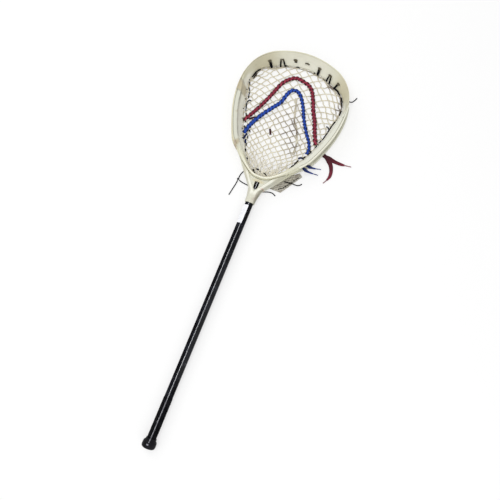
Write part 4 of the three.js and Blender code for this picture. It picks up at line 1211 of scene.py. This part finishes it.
# Places in millimetres of the stretches that show beside each wall.
left_strokes = [
    [(-127, 1090), (-131, 1080), (-135, 1067), (-139, 1054)],
    [(-129, 1066), (-131.5, 1059), (-133.5, 1051)], [(-142, 1038), (-138, 1034), (-135, 1028)],
    [(-135, 1021), (-131, 1015), (-128, 1010)],
    [(-128, 1008), (-126, 999), (-124, 989)],
    [(-113, 984), (-118, 983), (-122, 976), (-120, 964), (-116, 949)], [(-113, 943), (-110, 937)],
    [(-106, 922), (-104, 917)], [(-102, 906), (-99, 899)], [(-84, 899), (-80, 893)],
    [(-82, 881), (-79, 873)], [(-77, 857), (-74, 850)]]
right_strokes = [
    [(103, 1111), (111, 1101), (121, 1088)], [(127, 1083), (133, 1070), (138.5, 1055)],
    [(141, 1044), (141.5, 1030)], [(138, 1009), (136, 1003), (134, 990), (131, 978)],
    [(118, 985), (123, 983), (128, 977), (131, 970)], [(127, 968), (126, 961), (124, 953), (121, 943)],
    [(119, 940), (116, 931)], [(113, 921), (111, 915)], [(104, 900), (101, 892)], [(94, 880), (91, 873)]]
for side, name, node, strokes in ((-1, "left_side_string_wound", "left_side_string", left_strokes),
                                  (1, "right_side_string_wound", "right_side_string", right_strokes)):
    parts = [hidden_run(side * 0.139, side * 12.6 * SIDE_PITCH)]
    parts += [stroke(places, STROKE * (1.15 if places[0][1] > 1100 else 0.88)) for places in strokes]
    for hole in SIDE_HOLES:
        point, inward, *_, width = station(side * hole * SIDE_PITCH)
        hole_height = lift_at(point[1]) + SIDE_HOLE_HEIGHT * RIM_HEIGHT
        turns = [(HIDDEN_INSET, mesh_level(point[1]) - 0.0010), (STRING / 2 + 0.0004, hole_height - 0.0016),
                 (-0.0006, hole_height), (-0.0030, hole_height)]
        controls = [(*(point + inward * (width + inset))[:2], height) for inset, height in turns]
        parts.append(tube(spline(controls, 14), STRING, STRING, 8))
    wound_string = mesh_object(name, gather(parts), black_braid)
    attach(wound_string, "root")
    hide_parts(node)

parts = [hidden_run(12.8 * SIDE_PITCH, RIM_LENGTH - 12.8 * SIDE_PITCH)]
low_strokes = [
    [(-30, 790), (-26, 787), (-20, 782)], [(-22, 795), (-15, 794), (-7, 791)],
    [(2, 790.5), (8, 789), (13, 786)], [(80, 861), (77, 853), (73.5, 844)],
    [(73.5, 842), (71.5, 834), (68.5, 824)], [(-73, 838), (-69, 831)],
    [(-58, 816), (-52, 810)], [(50, 808), (44, 802)]]
parts += [stroke(places) for places in low_strokes]
low_string = mesh_object("throat_string_wound", gather(parts), black_braid)
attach(low_string, "root")
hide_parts("throat_string")


# Gathered end of the mesh: what is left over is folded flat behind the right throat arm and held with a
# row of black stitches, so that it is several layers of cord thick. Its cord is coloured darker than the
# pocket's, partly dirt and partly painted shade for its place behind the arm.

flap_outer = [(0.0352, 0.7558), (0.0675, 0.7562), (0.1078, 0.8205)]
flap_inner = [(0.0306, 0.7815), (0.0670, 0.8058), (0.0974, 0.8278)]
FLAP_LOW = 0.0006
FLAP_HIGH = 0.0049
LONG_CELLS = 96
CROSS_CELLS = 44
LONG_WAVES = 62
CROSS_WAVES = 13


def chain(places, share):
    """The place at a share of the way along a line of straight stretches."""
    places = np.array(places)
    run = run_along(places)
    return np.array([np.interp(share * run[-1], run, places[:, k]) for k in range(2)])


FLAP_MIDDLE = FLAP_LOW + (FLAP_HIGH - FLAP_LOW) * 0.5
points = []
for face in (1, -1):
    for a in range(LONG_CELLS + 1):
        along = a / LONG_CELLS
        outer, inner = chain(flap_outer, along), chain(flap_inner, along)
        for b in range(CROSS_CELLS + 1):
            across = b / CROSS_CELLS
            x, v = outer * (1 - across) + inner * across
            edge = min(along, 1 - along) * 12, min(across, 1 - across) * 8
            full = math.sqrt(min(1, edge[0], edge[1]))
            slant, other = LONG_WAVES * along, CROSS_WAVES * across
            weave = abs(math.sin(slant + other)) * abs(math.sin(slant - other + 0.6))
            fold = 0.5 + 0.5 * math.sin(21 * across + 2.2 * math.sin(5 * along))
            thick = (FLAP_HIGH - FLAP_LOW) * (0.30 + 0.70 * full * (0.62 + 0.16 * fold + 0.22 * weave))
            ruffle = 0.0006 * noise.noise((along * 14, across * 9, 0.5))
            shift = 0.0005 * noise.noise((along * 30, across * 20, 4.5))
            height = max(FLAP_LOW, FLAP_MIDDLE + face * thick / 2)
            points.append((x + shift, v + BUTT + shift + ruffle, height))
row = CROSS_CELLS + 1
sheet_count = (LONG_CELLS + 1) * row
faces = []
for a in range(LONG_CELLS):
    for b in range(CROSS_CELLS):
        i = a * row + b
        k = i + sheet_count
        faces.append((i, i + row, i + row + 1, i + 1))
        faces.append((k, k + 1, k + row + 1, k + row))
rim_points = ([a * row for a in range(LONG_CELLS)] + [LONG_CELLS * row + b for b in range(CROSS_CELLS)]
              + [a * row + CROSS_CELLS for a in range(LONG_CELLS, 0, -1)] + list(range(CROSS_CELLS, 0, -1)))
for i, k in zip(rim_points, rim_points[1:] + rim_points[:1]):
    faces.append((i, k, k + sheet_count, i + sheet_count))

folded, shader, tone = surface("folded_mesh")
spun = tone.node("ShaderNodeVectorRotate", None, {"Vector": own_place(tone), "Angle": 0.98})
east, north = axis(spun) * 520, axis(spun, 1) * 760
yarn = wave(east + north) * wave(east - north) * 0.5 + 0.5
grime = speckle(tone, 60, 4.0)
cord = ramp(yarn + (grime - 0.5) * 0.9, 0.15, 0.7)
# The cord's two colours are darker than the pocket's: partly dirt, partly painted shade.
cord = mix(tone, cord, (0.22, 0.205, 0.165), (0.57, 0.545, 0.47))
wire(shader, Base_Color=mix(tone, ramp(grime, 0.52, 0.68) * 0.6, cord, (0.24, 0.20, 0.155)),
     Roughness=0.85 + 0.1 * grime, Normal=bump(tone, yarn + grime * 0.6, 0.8, 0.0010))
flap = outward(mesh_object("folded_mesh_end", (points, faces), folded))
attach(flap, "root")
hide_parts("mesh_end_flap")

stitch_shares = [
    (0.356, -0.005), (0.412, 0.01), (0.475, 0.038), (0.525, 0.071), (0.581, 0.104), (0.619, 0.127)]
STITCHES = 9.5
STITCH_POINTS = 160
STITCH_STRING = 0.0023
line = spline([(x * HALF_WIDTH, RIM_START + y * BASKET, FLAP_HIGH + 0.0004) for x, y in stitch_shares],
              STITCH_POINTS)
run = np.linspace(0, STITCHES * 2 * math.pi, STITCH_POINTS)
line[:, 2] += 0.0020 * np.sin(run) - 0.0009
line[:, 0] += 0.0009 * np.cos(run * 0.5)
stitch = mesh_object("flap_stitches", tube(line, STITCH_STRING, STITCH_STRING, 8, UP), black_braid)
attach(stitch, "root")
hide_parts("flap_stitch")


# Shaft: a drawn aluminium tube with eight slightly rounded sides, anodised gloss black, chipped in a few
# places.
# A painted highlight runs along its top flat; its upper end is pushed 61 mm into the head's socket.

SHAFT_START = 0.004 + BUTT
SHAFT_END = 0.754 + BUTT
SHAFT_WALL = 0.0015


def round_octagon(grow, radius=0.0011, steps=4):
    """The shaft's outline with rounded edges, in X and height."""
    corners = np.array(octagon(grow))
    ring = []
    for k, corner in enumerate(corners):
        before, after = corners[k - 1], corners[(k + 1) % len(corners)]
        start = corner + unit(before - corner) * radius
        end = corner + unit(after - corner) * radius
        for share in np.linspace(0, 1, steps + 1):
            ring.append((1 - share) ** 2 * start + 2 * share * (1 - share) * corner + share ** 2 * end)
    return np.array(ring)


def band(share, start, full, fade, end):
    """Smooth 0 to 1 from start to full, and back to 0 from fade to end."""
    return ramp(share, start, full) * (1 - ramp(share, fade, end))


anodised, shader, tone = surface("black_anodised", Specular_IOR_Level=0.02, Coat_Roughness=0.08)
rub = speckle(tone, 34, 5.0)
scuff = speckle(tone, 420, 3.0)
place = own_place(tone)
x, y = axis(place), axis(place, 1)
long_grain = tone.node("ShaderNodeMapping", None, {0: place, "Scale": (900, 6, 900)})
drawn = speckle(tone, 1.0, 2.0, 0.5, long_grain)
chip = ramp(scuff + rub * 0.5, 0.93, 0.99)
paint = mix(tone, ramp(rub, 0.4, 0.7), (0.003, 0.003, 0.004), (0.009, 0.010, 0.015))
paint = mix(tone, chip * 0.5, paint, (0.22, 0.22, 0.24))
# Painted highlight: a thin lighter, glossier line down the middle of the top flat.
painted_highlight_line = band(x, -0.0011, -0.0005, 0.0012, 0.0018)
right_gloss = ramp(x, 0.0016, 0.0026) * ramp(y, -0.43, -0.36) * (0.34 - 0.24 * ramp(y, -0.14, 0.0))
wire(shader, Metallic=chip * 0.8, Base_Color=mix(tone, painted_highlight_line * 0.55, paint, (0.20, 0.205, 0.23)),
     Roughness=0.16 + ramp(rub, 0.45, 0.8) * 0.14 + chip * 0.2 + drawn * 0.05,
     Coat_Weight=painted_highlight_line * 0.85 + right_gloss,
     Normal=bump(tone, drawn * 0.3 + scuff * 0.15, 0.12, 0.0003))
rings = [section(round_octagon(0), y) for y in np.linspace(SHAFT_START, SHAFT_END, 60)]
rings += [section(round_octagon(-SHAFT_WALL), y) for y in (SHAFT_END, SHAFT_START)]
tube_body = solid("shaft_tube", rings, anodised, closed=True)
smooth_sides(tube_body, 50)
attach(tube_body, "root")
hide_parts("shaft")


# Grip tape: cloth tape wound in a slow spiral over the shaft's lower end, each turn lapping the last. The
# shaft's painted highlight line carries on over it, lighter and glossier along its top.

TAPE_START = 0.0273 + BUTT
TAPE_LENGTH = 0.106
TAPE_PITCH = 0.019
TAPE_UNDER = 0.0003
TAPE_OVER = 0.0008
flat, full = round_octagon(TAPE_UNDER), round_octagon(TAPE_OVER)
tape_rings = []
for along in np.linspace(0, TAPE_LENGTH, 170):
    turn_share = (along / TAPE_PITCH + np.arange(len(flat)) / len(flat)) % 1
    rise = 0.30 + 0.70 * (1 - turn_share)
    rise *= np.minimum(1, np.minimum(along, TAPE_LENGTH - along) / 0.0012 + 0.25)
    tape_rings.append(section(flat + (full - flat) * rise[:, None], TAPE_START + along))
tape_rings += [section(flat, TAPE_START + along) for along in (TAPE_LENGTH, 0)]
cloth, shader, tone = surface("grip_cloth", Specular_IOR_Level=0.02, Coat_Roughness=0.2)
place = own_place(tone)
x, y = axis(place), axis(place, 1)
thread = wave(y * 9000) * wave(x * 9000)
smudge = speckle(tone, 70, 4.0)
# Painted highlight: the top flat's bright line, continued over the tape.
tape_highlight_line = band(x, -0.0012, -0.0004, 0.0012, 0.0020)
weave = mix(tone, ramp(smudge, 0.4, 0.72), (0.002, 0.002, 0.003), (0.009, 0.009, 0.011))
wire(shader, Base_Color=mix(tone, tape_highlight_line * 0.6, weave, (0.17, 0.17, 0.20)),
     Roughness=0.30 + 0.22 * smudge, Coat_Weight=tape_highlight_line * 0.8,
     Normal=bump(tone, thread * 0.5 + smudge, 0.25, 0.0004))
tape = solid("grip_tape_wound", tape_rings, cloth, closed=True)
smooth_sides(tape, 50)
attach(tape, "root")
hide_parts("grip_tape")


# Butt cap: a moulded rubber knob, pulled over the shaft's end. It has a thick rounded bead, a narrow neck
# with two fine rings and a shallow dish in its end face; a painted highlight line runs along the neck's top
# and a painted glint sits on the bead.

CAP_RADIUS = 0.0185
CAP_BORE_START = 0.0037 + BUTT
CAP_BORE_END = 0.0300 + BUTT
cap_outline = spline([
    (0.0022, 0.0011, 0), (0.0060, 0.0006, 0), (0.0105, 0.0001, 0), (0.0140, 0.0006, 0), (0.0168, 0.0024, 0),
    (0.0182, 0.0055, 0), (0.0185, 0.0092, 0), (0.0184, 0.0130, 0), (0.0180, 0.0165, 0), (0.0166, 0.0196, 0),
    (0.0147, 0.0216, 0), (0.0138, 0.0236, 0), (0.0136, 0.0268, 0)], 60)
for ring_place in (0.0232, 0.0252):
    cap_outline[:, 0] += 0.0005 * np.exp(-((cap_outline[:, 1] - ring_place) / 0.0005) ** 2)
cap_outline[:, 0] = np.minimum(cap_outline[:, 0], CAP_RADIUS)
outline = [(0.0, 0.0012)] + [(r, y) for r, y, _ in cap_outline] + [(0.0128, 0.0270)]


def turned(name, outline, sides, place, material):
    """A body of revolution; place says where a point this far along, out and up from its axis lies."""
    angles = [2 * math.pi * k / sides for k in range(sides)]
    points = [place(far, radius * math.cos(angle), radius * math.sin(angle))
              for radius, far in outline for angle in angles]
    faces = []
    for i in range(len(outline) - 1):
        for k in range(sides):
            j = (k + 1) % sides
            faces.append((i * sides + k, i * sides + j, (i + 1) * sides + j, (i + 1) * sides + k))
    if outline[-1][0] > 0:
        faces.append(tuple((len(outline) - 1) * sides + k for k in range(sides)))
    made = mesh_object(name, (points, faces), material)
    merge = made.modifiers.new("merge", "WELD")
    merge.merge_threshold = 0.00001
    return outward(settle(made))


rubber, shader, tone = surface("moulded_rubber", Specular_IOR_Level=0.10, Coat_Roughness=0.15)
mould = speckle(tone, 900, 2.0)
film = speckle(tone, 70, 4.0)
place = own_place(tone)
x, far = axis(place), axis(place, 1) - BUTT
# Painted highlight: a light glossy line along the neck's top, and a painted glint on the bead.
neck_highlight_line = band(x, -0.0014, -0.0004, 0.0014, 0.0024) * ramp(far, 0.0163, 0.0179)
bead_painted_glint = band(x, -0.0040, -0.0026, 0.0010, 0.0030) * band(far, 0.0097, 0.0109, 0.0129, 0.0141)
rubber_tone = mix(tone, ramp(film, 0.42, 0.7), (0.002, 0.002, 0.003), (0.008, 0.008, 0.011))
wire(shader, Base_Color=mix(tone, neck_highlight_line * 0.5 + bead_painted_glint, rubber_tone, (0.24, 0.24, 0.28)),
     Roughness=0.28 + 0.18 * film, Coat_Weight=neck_highlight_line * 0.7 + bead_painted_glint * 0.9,
     Normal=bump(tone, mould + film * 0.5, 0.18, 0.0003))
cap = turned("butt_knob", outline, 96, lambda far, out, up: (out, far + BUTT, SHAFT_HEIGHT + up), rubber)
cut(cap, bar("cap_bore", BORE_GAP, CAP_BORE_START, CAP_BORE_END, rubber), "DIFFERENCE")
smooth_sides(cap, 50)
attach(cap, "root")
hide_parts("butt_cap")


# Label: a blank white vinyl sticker bent from the shaft's top flat over its left side, just below the
# socket. It is left without any print, and is smudged and lifted a little at its ends.

vinyl, shader, tone = surface("blank_vinyl")
smudge = speckle(tone, 120, 4.0)
dirt = speckle(tone, 600, 2.0)
wire(shader, Base_Color=mix(tone, ramp(smudge, 0.5, 0.72) * 0.5, (0.86, 0.87, 0.91), (0.50, 0.50, 0.54)),
     Roughness=0.35 + 0.2 * smudge, Normal=bump(tone, dirt * 0.4 + smudge, 0.15, 0.0003))
LABEL_END = 0.684 + BUTT
LABEL_LENGTH = 0.054
LABEL_UNDER = 0.0003
LABEL_OVER = 0.0006
label_rings = []
for share in np.linspace(0, 1, 28):
    y = LABEL_END - LABEL_LENGTH * (1 - share)
    curl = 0.0003 * np.exp(-(min(share, 1 - share) / 0.02) ** 2)
    outer, inner = octagon(LABEL_OVER + curl), octagon(LABEL_UNDER)
    upper = [outer[0], outer[7], outer[6], (outer[6][0], 0.0)]
    under = [inner[0], inner[7], inner[6], (inner[6][0], 0.0)]
    label_rings.append(rounded(section(upper + under[::-1], y), 0.0004, 3))
label = solid("blank_label", label_rings, vinyl)
smooth_sides(label, 40)
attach(label, "root")
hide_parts("shaft_label")


# Head screw: a plated pan-head screw that goes up through the socket into the shaft. Its head, with a
# crossed slot, shows on the socket's underside.

HEAD_TOP = SHAFT_HEIGHT - SOCKET_HALF - 0.0003
SCREW_PLACE = 0.7235 + BUTT
SLOT_TURN = 0.4
screw_outline = [(0, -0.0024), (0.0022, -0.00236), (0.0031, -0.0021), (0.0036, -0.0016), (0.0038, -0.0009),
                 (0.0038, 0), (0.0018, 0), (0.0018, 0.0072), (0.0006, 0.0089), (0, 0.0092)]
plated, shader, tone = surface("plated_steel", Metallic=1.0)
brushed = speckle(tone, 1500, 2.0)
spots = speckle(tone, 380, 3.0)
wire(shader, Base_Color=mix(tone, ramp(spots, 0.55, 0.7) * 0.7, (0.55, 0.56, 0.58), (0.25, 0.17, 0.11)),
     Roughness=0.28 + 0.3 * spots, Normal=bump(tone, brushed, 0.1, 0.0002))
screw = turned("socket_screw", screw_outline, 40,
               lambda far, out, up: (out, SCREW_PLACE + up, HEAD_TOP + far), plated)
corners = [(-0.0023, -0.0004), (0.0023, -0.0004), (0.0023, 0.0004), (-0.0023, 0.0004)]
for turned_by in (0, math.pi / 2):
    c, s = math.cos(turned_by + SLOT_TURN), math.sin(turned_by + SLOT_TURN)
    slot_rings = [np.array([(px * c - py * s, SCREW_PLACE + px * s + py * c, HEAD_TOP + z)
                            for px, py in corners]) for z in (-0.0028, -0.0010)]
    cut(screw, solid("slot_tool", slot_rings, plated, smooth=False), "DIFFERENCE")
smooth_sides(screw, 40)
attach(screw, "root")
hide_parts("head_screw")
